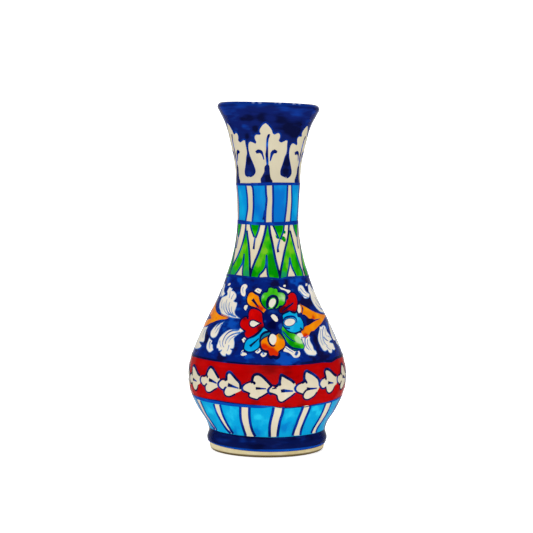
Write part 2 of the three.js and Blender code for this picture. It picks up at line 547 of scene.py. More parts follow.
def thin_shell(skin):
    """A closed outline round a skin of (radius, height) points, a glaze's thickness deep on its left."""
    back = []
    last = len(skin) - 1
    for i, (radius, height) in enumerate(skin):
        before, after = skin[max(i - 1, 0)], skin[min(i + 1, last)]
        along = Vector((after[0] - before[0], after[1] - before[1])).normalized()
        back.append((radius - along.y * GLAZE, height + along.x * GLAZE))
    return skin + back[::-1]


# Where the brush left more or less paint: (distance round from the front, height, size, tone).
COLLAR_DABS = [(-20, 243, 3.5, -1.1), (-14, 243.4, 3.4, -1.0), (-5, 245, 4, -1.0), (-9.6, 237, 2.2, -1.4),
               (-16, 231, 2.2, -1.3), (9, 244, 4.5, -0.8), (15, 238, 3.6, -1.4), (21, 235, 3.6, -1.6),
               (26, 240, 4, -0.9), (-20, 239.2, 2, 0.8), (-17.4, 238.4, 2.4, 0.8), (-14.4, 237.4, 2, 0.6),
               (-12.6, 233, 2, 0.7), (-22, 250, 6, 0.6), (-6, 252.6, 5, 0.7), (10, 251.5, 6, 0.5),
               (-14.5, 206, 3.4, 0.5), (-15.4, 214, 2.6, -1.3), (13.4, 207, 2.8, -1.6),
               (14.4, 213.5, 2.6, -1.5), (0, 202, 3, -1.3), (-3.4, 201.5, 1.6, 0.8)]
# Pale spots on top of the lip.
PALE_LIP_SPOTS = [(-11, LIP_TOP, 1.6, 0.7), (-6, LIP_TOP, 1.8, 0.8), (5, LIP_TOP, 1.3, 0.8), (8.4, LIP_TOP, 1.6, 0.9),
        (19, LIP_TOP, 1.8, 0.8), (24, LIP_TOP, 1.8, 0.8), (-50, LIP_TOP, 1.6, 0.7), (80, LIP_TOP, 2, 0.8)]


def collar_glaze():
    """The cobalt collar, rolled over the lip and down a little way inside."""
    low, high = BORDERS[6].height, lip_points[0][0]
    centre = (LIP_EDGE - LIP_RADIUS, LIP_TOP - LIP_RADIUS)
    turns = [math.radians(a) for a in stations(-20, 156, 8)]
    lip = [(centre[0] + LIP_RADIUS * math.cos(a), centre[1] + LIP_RADIUS * math.sin(a)) for a in turns]
    wall = [(outside(z), z) for z in stations(low, high, ROW)][:-1]
    throat = [(inside(z), z) for z in stations(lip[-1][1], COBALT_END, -ROW)][1:]
    bm = spun(thin_shell(wall + lip + throat), True)
    wash = bm.verts.layers.float.new("wash")
    tint = bm.verts.layers.float.new("tint")
    for vertex in bm.verts:
        angle, height = around(vertex), vertex.co.z
        radius = math.hypot(vertex.co.x, vertex.co.y)
        # The cobalt grows paler over the last few millimetres up to the lip top.
        thin = 0.9 * smoothstep(height, LIP_TOP - 3, LIP_TOP - 0.9)
        vertex[wash] = tone_at(angle * radius, height, COLLAR_DABS) + thin
        vertex[tint] = tone_at(angle * radius, height, PALE_LIP_SPOTS)
        height += BORDERS[6].shift(angle) * (1 - smoothstep(height, low, low + 20))
        vertex.co = in_space(angle, radius, height)
    return keep(bm, "collar_glaze", COBALT, "collar_coat")


def lining_glaze():
    """The cream glaze that lines the vase, over its floor and up to the cobalt in the mouth."""
    floor = span("lining_coat")[0] + GLAZE
    heel = [(0, floor), (10, floor), (22, floor), (30, floor), (34, floor + 0.7), (37, floor + 2.3),
            (39, floor + 5), (41, floor + 8)]
    skin = heel + [(inside(z), z) for z in stations(27, COBALT_END, 3)]
    bm = spun(thin_shell([(r, z) for r, z in reversed(skin)]), True)
    for vertex in bm.verts:
        vertex.co = in_space(around(vertex), math.hypot(vertex.co.x, vertex.co.y), vertex.co.z)
    return keep(bm, "lining_glaze", CREAM, "lining_coat")


def foot_clay():
    """The turned foot, bare below the glaze and rounded where it was wiped."""
    top = span("foot_ring")[1]
    radii = [-vertex.co.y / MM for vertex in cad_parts["foot_ring"].data.vertices]
    bore = min(radius for radius in radii if radius > 1)
    under = GLAZE + BOND
    side = [(outside(z) - under, z) for z in stations(BORDERS[0].height, top, 1.5)]
    edge = side[0][0]
    wiped = [(bore, 0.8), (bore + 0.8, 0), (edge - 2.6, 0), (edge - 1.5, 0.35), (edge - 0.8, 1.0),
             (edge - 0.3, 2.0)]
    bm = spun(wiped + side + [(bore, top - 5)], True)
    for vertex in bm.verts:
        vertex.co *= MM
    return keep(bm, "foot_clay", CLAY, "foot_ring")


# Darker in front and lighter toward both sides, where the neck turns away: painted shade and a painted sheen
# of the edges.
NECK_TONE_AND_SHEEN = [(-6, 192, 6, -0.5), (-6, 180, 7, -0.6), (-3, 173, 5, -0.6), (9, 190, 6, -0.9), (9, 179, 7, -1.0),
             (8, 172, 5, -0.9), (24, 188, 6, 0.6), (24, 177, 6, 0.7), (-25, 188, 6, 0.6), (-25, 177, 6, 0.7)]
FIELD_DABS = [(14, 72, 5, 1.2), (8, 74, 3, 0.8), (22, 74, 4, 0.6), (-28, 98, 4, 0.9), (-35, 97, 3, 0.6),
              (-24, 95, 3, 0.5), (-12, 73, 5, 0.5), (6, 126, 4, -1.2), (14, 126, 3, -1.3), (-8, 124, 4, -0.7),
              (21, 113, 3, -0.8), (32, 111, 6, -1.2), (34, 98, 4, -1.5), (36, 118, 3, -1.0),
              (-27, 116, 4, -1.1), (-21, 112, 3, -0.8), (44, 72.5, 5, -1.4), (34, 73, 4, -0.8),
              (-36, 71.4, 5, -1.0), (24, 128, 3, 1.1), (18, 127, 2, 0.6), (-22, 127, 3, 1.1),
              (-38, 128, 4, 1.2), (-40, 117, 3, 0.7), (38, 86, 3, -1.0), (40, 79, 3, -1.2),
              (56, 92, 4, 0.6), (-55, 86, 4, -1.2), (-22, 84, 3, -0.8), (-44, 104, 4, 0.5),
              (29, 103, 2, -1.0), (-6, 128, 3, 0.6)]
# On the lower band the small, strong light dabs are painted highlights; the rest is brush tone.
LOWER_TONE_AND_HIGHLIGHTS = [(-7, 31, 2.4, 0.8), (-6.4, 31, 0.9, 1.8), (13, 22, 5, -0.9), (-8, 20, 4, -0.7),
              (-3, 27, 3, 0.4), (36.4, 36, 1.3, 2.6), (38.4, 36.4, 1, 2.0), (43, 31.4, 1.2, 2.6),
              (41, 35, 3, 0.6), (46, 31, 1, 1.6), (-24, 33, 5, 0.5), (16, 34, 4, 0.4), (-29, 26, 4, 0.3),
              (-24, 20, 4, -0.6), (30, 22, 4, -0.6), (-50, 32, 3, 0.7)]
RED_DABS = [(2, 66, 6, -0.7), (14, 66, 5, -0.8), (-20, 67, 5, 0.6), (-36, 68, 6, 0.5), (-52, 65, 5, 0.6),
            (14, 38, 5, -0.9), (26, 38, 5, -0.9), (-8, 43, 4, -0.5), (40, 66, 6, 0.5), (-28, 44, 5, 0.5),
            (-48, 43, 5, 0.5)]
FOOT_DABS = [(-18, 14, 3, 0.8), (-10, 13, 2.4, 0.5), (-4, 10, 5, -0.6), (28, 12, 4, 0.3), (-40, 11, 6, 0.4),
             (20, 14.4, 4, -0.7), (36, 14.4, 4, -0.7)]

foot_clay()
band_coat("foot_coat", BORDERS[0], BORDERS[1], NAVY, FOOT_DABS)
band_coat("lower_stripe_coat", BORDERS[1], BORDERS[2], TURQUOISE, LOWER_TONE_AND_HIGHLIGHTS)
band_coat("garland_coat", BORDERS[2], BORDERS[3], RED, RED_DABS)
band_coat("flower_field_coat", BORDERS[3], BORDERS[4], FIELD, FIELD_DABS)
band_coat("leaf_band_coat", BORDERS[4], BORDERS[5], CREAM)
band_coat("neck_stripe_coat", BORDERS[5], BORDERS[6], SKY, NECK_TONE_AND_SHEEN)
collar_glaze()
lining_glaze()
for hidden in ("lower_bowl", "shoulder", "neck", "flared_mouth"):
    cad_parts[hidden].material_slots[0].material = CLAY


# ---------------------------------------------------------------- lines round the bands

ring_line("foot_line", MID_BLUE, BORDERS[0], [
    (-120, 0.5, 0.8), (-62, 0.8, 0.7), (-40, 0.9, 1.2), (-10, 1.1, 1.5), (20, 1.2, 1.8), (60, 1.2, 1.4),
    (130, 0.5, 0.8),
])
ring_line("heel_line", DARK_LINE, BORDERS[1], [
    (-120, -0.4, 0.8), (-40, -0.4, 0.8), (-20, -0.6, 1.6), (10, -0.6, 1.3), (40, -0.7, 1.7),
    (60, -0.4, 1.0), (130, 0, 0.7),
])
ring_line("waist_line", MID_BLUE, BORDERS[2], [
    (-150, -0.6, 1.4), (-70, -0.9, 2.4), (-42, -1.1, 2.6), (-18, -1.0, 2.3), (-4, -0.9, 2.2),
    (2, -0.4, 1.0), (8, 0.0, 0.2), (28, 0.0, 0.2), (38, -0.5, 0.9), (60, -0.7, 1.5), (110, -0.5, 0.9),
])
ring_line("waist_edge", DARK_LINE, BORDERS[2], [
    (-150, 0.1, 0.2), (-60, 0.2, 0.2), (-42, 0.3, 0.9), (-26, 0.3, 0.8), (-10, 0.2, 0.4), (0, 0.1, 0.2),
    (10, 0.1, 0.6), (26, 0.1, 0.8), (36, 0.1, 0.6), (50, 0.1, 0.2), (150, 0.1, 0.2),
])
ring_line("field_line", DARK_LINE, BORDERS[3], [
    (-130, 0.4, 1.2), (-50, 0.5, 1.5), (-10, 0.4, 1.2), (4, 0.3, 0.8), (12, 0.3, 0.2), (18, 0.4, 0.6),
    (26, 0.8, 1.8), (40, 0.9, 2.2), (60, 0.9, 1.9), (110, 0.5, 1.2),
])
ring_line("leaf_line", OUTLINE, BORDERS[4], [
    (-130, -0.4, 1.4), (-50, -0.5, 1.8), (-22, -0.2, 1.2), (-10, -0.2, 1.2), (8, -0.4, 1.4),
    (18, -0.6, 1.3), (24, -0.3, 1.4), (34, -0.5, 1.8), (60, -0.4, 1.3), (110, -0.4, 1.4),
], RING_LIFT)
ring_line("neck_line", BRIGHT_LINE, BORDERS[5], [
    (-120, -0.2, 2.2), (-62, -0.2, 3.0), (-20, -0.3, 2.2), (12, -0.4, 2.7), (30, -0.3, 2.6),
    (56, -0.2, 2.9), (120, -0.2, 2.2),
], RING_LIFT)
ring_line("collar_line", BRIGHT_LINE, BORDERS[6], [
    (-120, 0.2, 2.0), (-50, 0.3, 1.6), (-30, 0.3, 2.0), (0, 0.5, 2.3), (40, 0.4, 2.0), (110, 0.2, 2.0),
], RING_LIFT)


# ---------------------------------------------------------------- collar: five palmettes

PALMETTE = [
    (2.4, 198.5), (13.5, 198.5), (13.5, 202.7), (12, 202.8), (10.2, 203.3), (8.7, 204.3), (8.4, 207),
    (9.3, 210), (10.8, 214), (12, 217.5), (13.3, 220), (13.8, 223), (14, 227), (14.3, 229.6), (12.5, 229.9),
    (10.5, 229), (8.6, 228.3), (7.3, 229.3), (8.3, 231.5), (8.2, 233.8), (6.8, 235.1), (5.2, 234.8),
    (3.9, 234), (3, 234.6), (2.6, 236), (1, 238.8), (-1, 241), (-2.6, 242), (-4.7, 240.9), (-6.6, 238.6),
    (-7.6, 236), (-7.3, 234.8), (-6.6, 233.8), (-8, 233.7), (-9.6, 233.8), (-10.9, 232.6), (-11.2, 231),
    (-10.6, 229.3), (-9.9, 228), (-10.2, 227.2), (-12.2, 228.2), (-14.2, 228.6), (-15.6, 227.8),
    (-16.2, 225.5), (-15.9, 222), (-14.8, 218.5), (-13.2, 215), (-11.3, 211), (-10.2, 208), (-10.1, 206.3),
    (-11, 204.6), (-12.8, 203.2), (-14, 202.8), (-16.1, 203.4), (-16.1, 198.5), (-5.9, 198.6),
    (-6.2, 201.3), (-4.6, 204.3), (-3.6, 206.5), (-3.2, 210.3), (-1.4, 212.5), (-0.1, 211.3), (0.5, 206.5),
    (1.3, 202), (2.6, 199.8),
]
PALMETTE_EDGE = PALMETTE[3:54]  # all of it but the flat foot
PALMETTES = [(0, 0.7, -0.6), (69.3, 0, -1.4), (145, 0, -0.6), (215, 0, -0.6),
             (295, 0, -0.8)]  # turn, right, up


def moved(points, right, up):
    """An outline or a stroke set a little to the right and up."""
    return [(p[0] + right, p[1] + up, *p[2:]) for p in points]


def all_palmettes():
    """Five cream palmettes, their blue outlines and their veins, dark where the brush was set down."""
    cream = Painted("palmettes", "cream_glaze", SHADED_DULL_CREAM)
    ink = Painted("palmette_outlines", "outline_blue", OUTLINE)
    veins = Painted("palmette_veins", "outline_blue", BRIGHT_LINE)
    middle = [(0.4, 232.6, 1.7), (-0.3, 232.8, 1.7), (-1, 231.2, 1.3), (-1.5, 227, 1.2), (-1.5, 223, 1.2),
              (-1.7, 219, 1.6), (-1.3, 214, 1.4), (-1.2, 211.5, 1.2)]
    left = [(-9.7, 220.5, 1.5), (-8, 221.3, 2.2), (-6, 221, 1.8), (-4.7, 218.6, 1.0), (-3.8, 215.4, 0.6)]
    right = [(5.6, 220.5, 1.2), (4, 221.4, 2.3), (2.4, 220.4, 1.9), (1.4, 217.4, 1.2), (0.7, 214.4, 0.6)]
    for turn, along, up in PALMETTES:
        cream.shape(moved(PALMETTE, along, up), (turn,), step=0.7)
        ink.lines([moved(inked(PALMETTE_EDGE, 0.4, 1.1), along, up)], (turn,), lift=UNDER_LIFT)
        dark = [(-0.2, 233, 2.2, -1.6), (-1.6, 219.5, 2.4, -1.2), (-8, 221, 2.2, -1.8), (4.4, 221.2, 2, -1.7),
                (-1.4, 226, 2.4, 0.8), (-1.2, 213, 2, 0.8), (-4.6, 217.4, 1.6, 0.6), (1.2, 216.8, 1.6, 0.6)]
        veins.lines([moved(line, along, up) for line in (middle, left, right)], (turn,),
                    dabs=[(x + along, y + up, size, tone) for x, y, size, tone in dark])
    for piece in (cream, ink, veins):
        piece.finish()


all_palmettes()


# ---------------------------------------------------------------- neck: nine cream stripes

def stripe(left, right):
    """A stripe's outline from its two edges, both read from the top down."""
    return left + right[::-1]


NECK_STRIPES = [  # left edge, right edge
    ([(-17, 196), (-16.5, 192.5), (-15.9, 189), (-15.5, 184), (-15.5, 179), (-16.2, 175), (-17, 171.5),
      (-17.2, 169)],
     [(-13.1, 196), (-12.3, 194.5), (-11.8, 191), (-11.6, 185), (-11.6, 179), (-12.1, 174), (-12.6, 169)]),
    ([(-1, 196.2), (-0.7, 190), (-0.3, 186), (-0.7, 181), (-1.1, 176), (-1.4, 169)],
     [(2.8, 196.2), (3, 190), (3.1, 185), (2.8, 178), (2.8, 169)]),
    ([(15.9, 196.2), (15.7, 191), (15.5, 186), (15, 181), (14.5, 176.5), (13.8, 172), (13.5, 169)],
     [(18.5, 196.2), (18.7, 191), (19, 186), (18.7, 180), (18.2, 175), (17.6, 169)]),
]
NECK_TURNS = (0, 120, -120)


def beside(edge, gap, width):
    """A brush line a little to one side of an edge."""
    return [(x + gap, y, width) for x, y in edge]


neck_stripes = Painted("neck_stripes", "cream_glaze", SHADED_DULL_CREAM)
neck_ink = Painted("neck_stripe_outlines", "outline_blue", BRIGHT_LINE)
for left, right in NECK_STRIPES:
    neck_stripes.shape(stripe(left, right), NECK_TURNS, step=2)
    neck_ink.lines([beside(left, -0.7, 1.2), beside(right, 0.7, 1.2)], NECK_TURNS, step=2)
neck_ink.lines([[(-2.2, 178, 0.9), (-2.8, 174, 1.2), (-3, 171.2, 1.8)]],
               NECK_TURNS, dabs=[(-3, 171, 2, -1.5)])
neck_stripes.finish()
neck_ink.finish()


# ---------------------------------------------------------------- leaf band: eight split leaves

# Each leaf: outer left edge and outer right edge from the tip down, then the notch between its two blades.
LEAVES = [
    ([(-0.8, 168.8), (-1, 166), (-1.6, 163), (-2.8, 158), (-4.6, 152), (-6.6, 146.5), (-9.3, 140.5),
      (-11.8, 134), (-12.8, 129.6)],
     [(0.5, 168.8), (0.8, 165), (1.6, 160), (2.8, 155), (4, 149), (5.2, 143), (6.8, 137), (8.2, 132),
      (8.9, 129)],
     [(-6.5, 129.6), (-6, 131.5), (-4, 133.5), (-2.2, 136), (-1.2, 139), (-1, 142), (-0.9, 145.6),
      (-0.6, 140), (-0.4, 135), (0.2, 131), (0.9, 129)], (0, 90, 180, -84)),
    ([(17.2, 168.5), (17, 165), (16.6, 161), (15.6, 156.5), (14, 151.5), (12.7, 147), (11.6, 142),
      (10.6, 137.5), (9.6, 132.5), (9.2, 129)],
     [(17.8, 163), (19.5, 158), (21.5, 152.5), (23.6, 147), (26, 141.5), (28.3, 136.5), (30.3, 133),
      (31, 129.6)],
     [(14.5, 129.4), (15.4, 133.5), (16.4, 137), (17, 141), (17.2, 143.5), (18.2, 139), (19.6, 135.5),
      (21.5, 132.5), (23, 129.4)], (0, 90, 180)),
    ([(-17.4, 168.5), (-17.8, 164), (-18.8, 159.5), (-20.8, 153.5), (-23.5, 148), (-26.8, 143), (-30, 139.5),
      (-33, 136), (-35, 130)],
     [(-17, 163), (-16.2, 158), (-15, 152), (-14.3, 146), (-13.9, 140), (-13.6, 134), (-13.2, 129.6)],
     [(-28.2, 129.8), (-25, 133), (-22.5, 136), (-20.2, 139.5), (-19.3, 143), (-18.9, 146), (-19, 142),
      (-19.5, 137), (-19.7, 133), (-19.3, 129.6)], (0,)),
]
LEAF_DABS = [(0, 157, 4, 0.5), (-4, 148, 3, 0.9), (-1.5, 148.5, 1.6, 0.8), (-7, 139, 3.6, 0.9),
             (-3.5, 143, 2.6, 0.9), (3.4, 143, 4.4, -1.4), (5, 134, 5, -1.5), (-10, 132, 3, -1.1),
             (3, 152, 3, -1.0), (17.5, 158, 2.4, 1.6), (16.6, 151, 3.6, 1.0), (20, 148, 2.4, 0.8),
             (13, 141, 3.4, 0.7), (15, 137, 1.8, 0.8), (25, 136, 5, -0.7), (24, 143, 3, -0.4),
             (-19, 158, 3, -0.7), (-20, 150, 4, 0.3), (-16, 142, 5, -0.1), (-27, 138, 3, 0.6),
             (-22, 145, 2.5, 0.5)]
LEAF_TINTS = [(-16, 132, 3.4, 0.9), (-30, 133, 4, 0.7), (12, 131.4, 3, 1.0), (-17, 137, 2.4, 0.4),
              (31, 134, 3, 0.6)]

LEAF_INK = [(-14, 132, 5, -1.2), (9, 133, 5, -1.3), (2, 158, 5, -1.0), (-4, 152, 4, -0.8), (18, 162, 4, -0.8),
            (-1, 138, 4, 0.5), (17.5, 138, 5, 0.7), (-20, 140, 5, 0.5), (-25, 146, 6, 0.4), (30, 140, 6, 0.4)]

split_leaves = Painted("split_leaves", "green_glaze", GREEN)
leaf_ink = Painted("split_leaf_outlines", "outline_blue", OUTLINE)
for left, right, notch, turns in LEAVES:
    outline = left[::-1] + right + notch[::-1]
    split_leaves.shape(outline, turns, LEAF_DABS, tints=LEAF_TINTS)
    leaf_ink.lines([beside(left, -0.3, 1.35), beside(right, 0.3, 1.35), beside(notch, 0, 1.05)], turns,
                   dabs=LEAF_INK)
split_leaves.finish()

# Between the leaves a small one hangs from the neck line: left edge, right edge, stalk, and green spills.
HANGING = [
    ([(-13.6, 168.6), (-12.2, 163.5), (-9.9, 158.4)], [(-6, 168.6), (-7.2, 163.5), (-9.3, 158)],
     [(-9.4, 158.6, 0.9), (-10, 155, 1.0), (-10.4, 152, 1.1), (-10.6, 149.7, 1.3)], [], (0, -45, 90, 180)),
    ([(3.4, 168.6), (5.9, 163), (8.3, 157.4)], [(12.2, 168.6), (11.5, 163), (8.9, 157)],
     [(8.9, 157, 0.8), (7.8, 153, 1.1), (7.3, 150, 1.2), (7.7, 147.6, 1.5)],
     [[(10.9, 163.4), (12.6, 163.4), (13.8, 162.3), (13.2, 160.9), (11.6, 161.2), (10.4, 161.8)],
      [(10, 159.2), (11.6, 159.2), (13, 158.4), (13.9, 156.8), (13.4, 155.2), (12.2, 155), (11.1, 156.2),
       (9.8, 157)],
      [(5.6, 160), (7, 159.4), (8.2, 158), (7.2, 157.4), (6.2, 158)]], (0, 90, 180, -135)),
]
hanging_leaves = Painted("hanging_leaves", "green_glaze", GREEN)
stalks = Painted("hanging_stalks", "outline_blue", STALK_BLUE)
for left, right, stalk, spills, turns in HANGING:
    hanging_leaves.shape(stripe(left, right), turns, [(left[1][0] + 2, 166, 4, -1.4), (8.6, 160, 2.4, 0.9),
                                                      (-12, 163, 1.5, 0.8)])
    for spill in spills:
        hanging_leaves.shape(spill, turns[:1], [(12, 158, 6, -1.6)], step=0.5)
    leaf_ink.lines([beside(left, -0.3, 1.0), beside(right, 0.3, 1.0)], turns, dabs=[(4, 166, 3, -1.2)])
    stalks.lines([stalk], turns, dabs=[(stalk[-1][0], stalk[-1][1], 2, -1.3)])
hanging_leaves.finish()
stalks.finish()
leaf_ink.finish()


# ---------------------------------------------------------------- flower field

FLOWER_TURNS = (0, 121, -124)

GREEN_PETAL = [(-0.3, 107.2), (-2.5, 108.8), (-4.2, 111), (-4.9, 114), (-4.4, 117), (-2.6, 119.2),
               (-0.3, 119.6), (0, 120.5), (0.8, 122.5), (2.8, 122.8), (4.8, 122), (6.2, 122.2), (7.3, 121),
               (7.6, 119.5), (9.5, 119.4), (11.8, 118.8), (13.3, 117), (13.2, 114), (12.8, 111.5),
               (11, 109.8), (8.5, 109.3), (8, 108.5), (6.5, 107.6), (4.5, 107.8), (2.5, 107.2)]
GREEN_LEAF = [(11, 95.6), (12.5, 93.8), (14.5, 92.2), (17, 91), (19.5, 90.3), (22, 89), (24.5, 87),
              (26.5, 84), (27.8, 81.5), (27.2, 80), (24.5, 79.4), (21.5, 78.6), (18.5, 79.4), (16, 81.6),
              (13.8, 84.8), (12, 88.3), (10.4, 91.2), (10.2, 93.5)]
GREEN_LEAF_FOOT = GREEN_LEAF[7:]  # its lower edge
RED_LEAF = [(8, 106.4), (8.6, 107.8), (10.8, 109.6), (12.8, 111), (13.6, 113.5), (14.2, 116), (15.6, 117.5),
            (17.4, 118.8), (19.6, 118.8), (21.6, 117.4), (22.8, 114.8), (23.2, 111.6), (22.8, 108.5),
            (22, 106), (20.3, 105), (18, 105.6), (15.6, 106.2), (13.4, 105.2), (11, 104.6), (9.2, 104.6)]
RED_PETAL = [(-3.4, 102), (-3.9, 105), (-6.5, 106.9), (-9.5, 107.9), (-12.3, 107.4), (-13.8, 105.2),
             (-14.2, 102.8), (-14, 101.6), (-16, 102.1), (-18.2, 101), (-20, 99), (-20.6, 96.6),
             (-19.6, 94.4), (-17.6, 92.8), (-16, 92.2), (-16.9, 90.6), (-16.3, 88.6), (-14.4, 87.3),
             (-11.5, 87.8), (-8.5, 89.3), (-5.5, 91.8), (-3.4, 94.6), (-2.3, 96), (-3, 98.8), (-3.2, 100.5)]
BLUE_PETAL = [(10.6, 103.2), (12.5, 104.5), (14.6, 105.2), (16.3, 106), (18.2, 105), (20.5, 104.4),
              (22.3, 105.4), (22.9, 103.8), (23, 102.2), (25, 101.6), (26.5, 99.8), (27.6, 97.5),
              (27.8, 94.8), (27.2, 93), (25.2, 92.2), (23, 91.3), (20.5, 90.7), (17.8, 91), (15.2, 92),
              (13, 93.9), (11.6, 96), (11, 98.5), (10.9, 101)]
BLUE_LEAF = [(-2.8, 95.3), (0.5, 93.2), (2.5, 92.2), (0, 91.6), (-2.6, 90.6), (-4.6, 88.4), (-5.5, 85.6),
             (-5.2, 83.5), (-5.8, 81.3), (-8.5, 79.2), (-11.5, 78), (-14.8, 78.2), (-17, 79.8), (-17, 82),
             (-15.8, 85.2), (-13, 87.6), (-10, 89.2), (-6.8, 91.7), (-4.2, 93.9)]
ORANGE_PETAL = [(-4.8, 85.5), (-3, 87.5), (-1, 88.5), (1.2, 89.5), (6.3, 90), (7.5, 91), (9, 90.7),
                (10.5, 89.3), (12.2, 86.8), (13, 84), (12.6, 81.8), (11, 80.2), (9, 79), (8, 78), (8.8, 76.4),
                (8.4, 74.6), (6.4, 73.5), (4.2, 74.3), (2.4, 73.7), (0.8, 75.3), (0.4, 77.4), (0, 79.2),
                (-1.2, 78.9), (-2.8, 79.5), (-4.3, 81), (-4.9, 83.2)]
ORANGE_LEAF = [(-0.4, 107.2), (-2.2, 108.6), (-4.4, 111.4), (-5.6, 114), (-6.2, 116.5), (-8.8, 118),
               (-11.2, 119.4), (-13.2, 119), (-14.8, 116.8), (-15.6, 113.8), (-15, 111.2), (-13, 109.4),
               (-10.2, 108.6), (-7.2, 107.6), (-4.6, 105.8), (-2.8, 104.2)]
TEAL_PATCH = [(-4.7, 86.6), (-4.2, 88.8), (-2.2, 91), (0.6, 91.6), (2.2, 91.3), (1, 89.6), (-1.5, 88.6)]

CENTRE = [(-2.5, 103), (0, 106.8), (2, 107.8), (6, 107.6), (9, 105.5), (11, 102), (11.3, 98), (10, 94.5),
          (7, 92.3), (4, 91.8), (1, 93), (-2, 96), (-3.1, 99)]
GREEN_EYE = [(0.9, 110.8), (1.6, 113.4), (3.4, 114.8), (5.4, 114.4), (5.9, 112.5), (4.6, 109.9), (2.8, 108.5),
             (1.4, 109.2)]
BLUE_EYE = [(12.2, 97.2), (12.6, 99.4), (14.6, 100.7), (18, 100.8), (20.3, 99.8), (20.6, 98.2), (19.2, 96.6),
            (16.3, 95.6), (13.6, 95.9)]
RED_EYE = [(-13.2, 97.2), (-12.6, 99), (-10.4, 99.8), (-8.4, 99.2), (-6, 98.2), (-4.4, 97.7), (-6.2, 97),
           (-8.3, 95.6), (-10.4, 94.8), (-12.3, 95.6)]
ORANGE_EYE = [(1.3, 86), (1.5, 88.4), (2.9, 90.4), (4.5, 90.2), (6.2, 88.6), (6.4, 86.6), (5.7, 84.4),
              (4.2, 83), (2.6, 83.8)]
# GLINT is a painted highlight: a white oval on the glossy flower centre.
GLINT = [(2.3, 102.6), (3.6, 103.9), (5.2, 103.5), (7.5, 100.5), (7.2, 99), (5.9, 98.9), (3.8, 100.6)]


def over(layer):
    """How proud the flower's paints stand, each laid over the ones before it."""
    return 0.13 + 0.005 * layer


def flower():
    """Eight petals and leaves in four colours round a blue eye; flower_outlines lays the dark blue lines
    round them.
    """
    green = Painted("flower_green", "green_glaze", PALE_GREEN)
    green.shape(GREEN_PETAL, FLOWER_TURNS, [(-3, 110.5, 3.4, -1.5), (11.5, 115, 3, 0.8),
                                            (-3, 116.5, 2.4, 0.5), (3.5, 121, 2.4, -0.4), (8, 118, 2, 0.4),
                                            (9, 110.5, 2, -0.5), (8, 114, 1.6, 0.6)], over(4))
    green.shape(GREEN_LEAF, FLOWER_TURNS, [(13.5, 90, 3.4, -0.5), (18, 84, 3, -1.2), (22, 87, 3, 1.5),
                                           (25.4, 84.4, 2.4, 1.0), (22, 80.6, 2.6, -1.4)], over(4))
    green.finish()
    red = Painted("flower_red", "red_glaze", PETAL_RED)
    red.shape(RED_LEAF, FLOWER_TURNS, [(10, 106.6, 2.4, -1.7), (13.4, 107.4, 2, -1.2), (16, 109.4, 1.4, -0.7),
                                       (20, 105.8, 1.8, -0.7)], over(2))
    red.shape(RED_PETAL, FLOWER_TURNS, [(-5, 94, 2.6, -0.9), (-10, 104, 3.4, 0.5), (-5, 101.5, 2, -0.5),
                                        (-16, 100.8, 1.6, -0.6), (-12, 89.5, 2.4, 0.5)], over(2))
    red.finish()
    blue = Painted("flower_turquoise", "turquoise_glaze", PETAL_BLUE)
    blue.shape(BLUE_PETAL, FLOWER_TURNS, [(25.5, 96, 2.4, -0.3), (14, 94.4, 2, 0.7), (18, 93, 2.4, 0.5),
                                          (22, 100.6, 2.4, 0.6), (18, 103.6, 2.4, 0.4)], over(3))
    blue.shape(BLUE_LEAF, FLOWER_TURNS, [(-1, 92, 2.4, 0.8), (-5, 88.6, 2, -0.7), (-14, 81, 3, 0.3),
                                         (-8, 90, 2, 0.4), (-8, 83, 2.4, -0.4)], over(0))
    blue.finish()
    orange = Painted("flower_orange", "orange_glaze", ORANGE)
    orange.shape(ORANGE_PETAL, FLOWER_TURNS, [(-2.6, 81.6, 3, -1.2), (4.2, 75.6, 4.4, -1.9),
                                              (1.4, 80, 2.4, -0.7), (8, 86, 3, 0.4), (0, 86.4, 2, 0.4)],
                 over(5), tints=[(10.6, 88.4, 2, 1.0), (8.6, 89.6, 1.6, 0.6)])
    orange.shape(ORANGE_LEAF, FLOWER_TURNS, [(-7, 108.8, 2, -1.2), (-4, 107.4, 2.2, -1.0),
                                             (-13, 114, 2.6, 0.6), (-8, 116, 2.4, 0.3),
                                             (-11, 110.4, 1.6, -0.5)], over(1))
    orange.finish()
    teal = Painted("flower_teal", "turquoise_glaze", TEAL)
    teal.shape(TEAL_PATCH, FLOWER_TURNS, lift=over(6), step=0.6)
    teal.finish()
    # On the centre, the strong light dab at its lower right is a painted highlight; the other dabs are brush
    # tone.
    eye = Painted("flower_centre", "cobalt_glaze", EYE_BLUE)
    eye.shape(CENTRE, FLOWER_TURNS, [(9.4, 95.4, 2.2, 1.3), (-1.6, 98.6, 1.6, 0.7), (3, 105.8, 2.6, 0.6),
                                     (9, 103.4, 2, 0.5), (3, 96.6, 3.4, -1.2), (7.6, 102, 1.6, -0.6)],
              over(10))
    eye.finish()
    white = Painted("flower_eyes_and_glint", "cream_glaze", WHITE)
    # The petals' white eyes, and the glint, which is a painted highlight on the centre.
    for outline in (GREEN_EYE, BLUE_EYE, RED_EYE, ORANGE_EYE, GLINT):
        white.shape(outline, FLOWER_TURNS, [(16, 98, 5, -0.4), (4, 86, 3, -0.4), (3.6, 112, 3, -0.3)],
                    over(18), 0.6, tints=[(-12.6, 98.6, 1.2, 0.8)])
    white.finish()


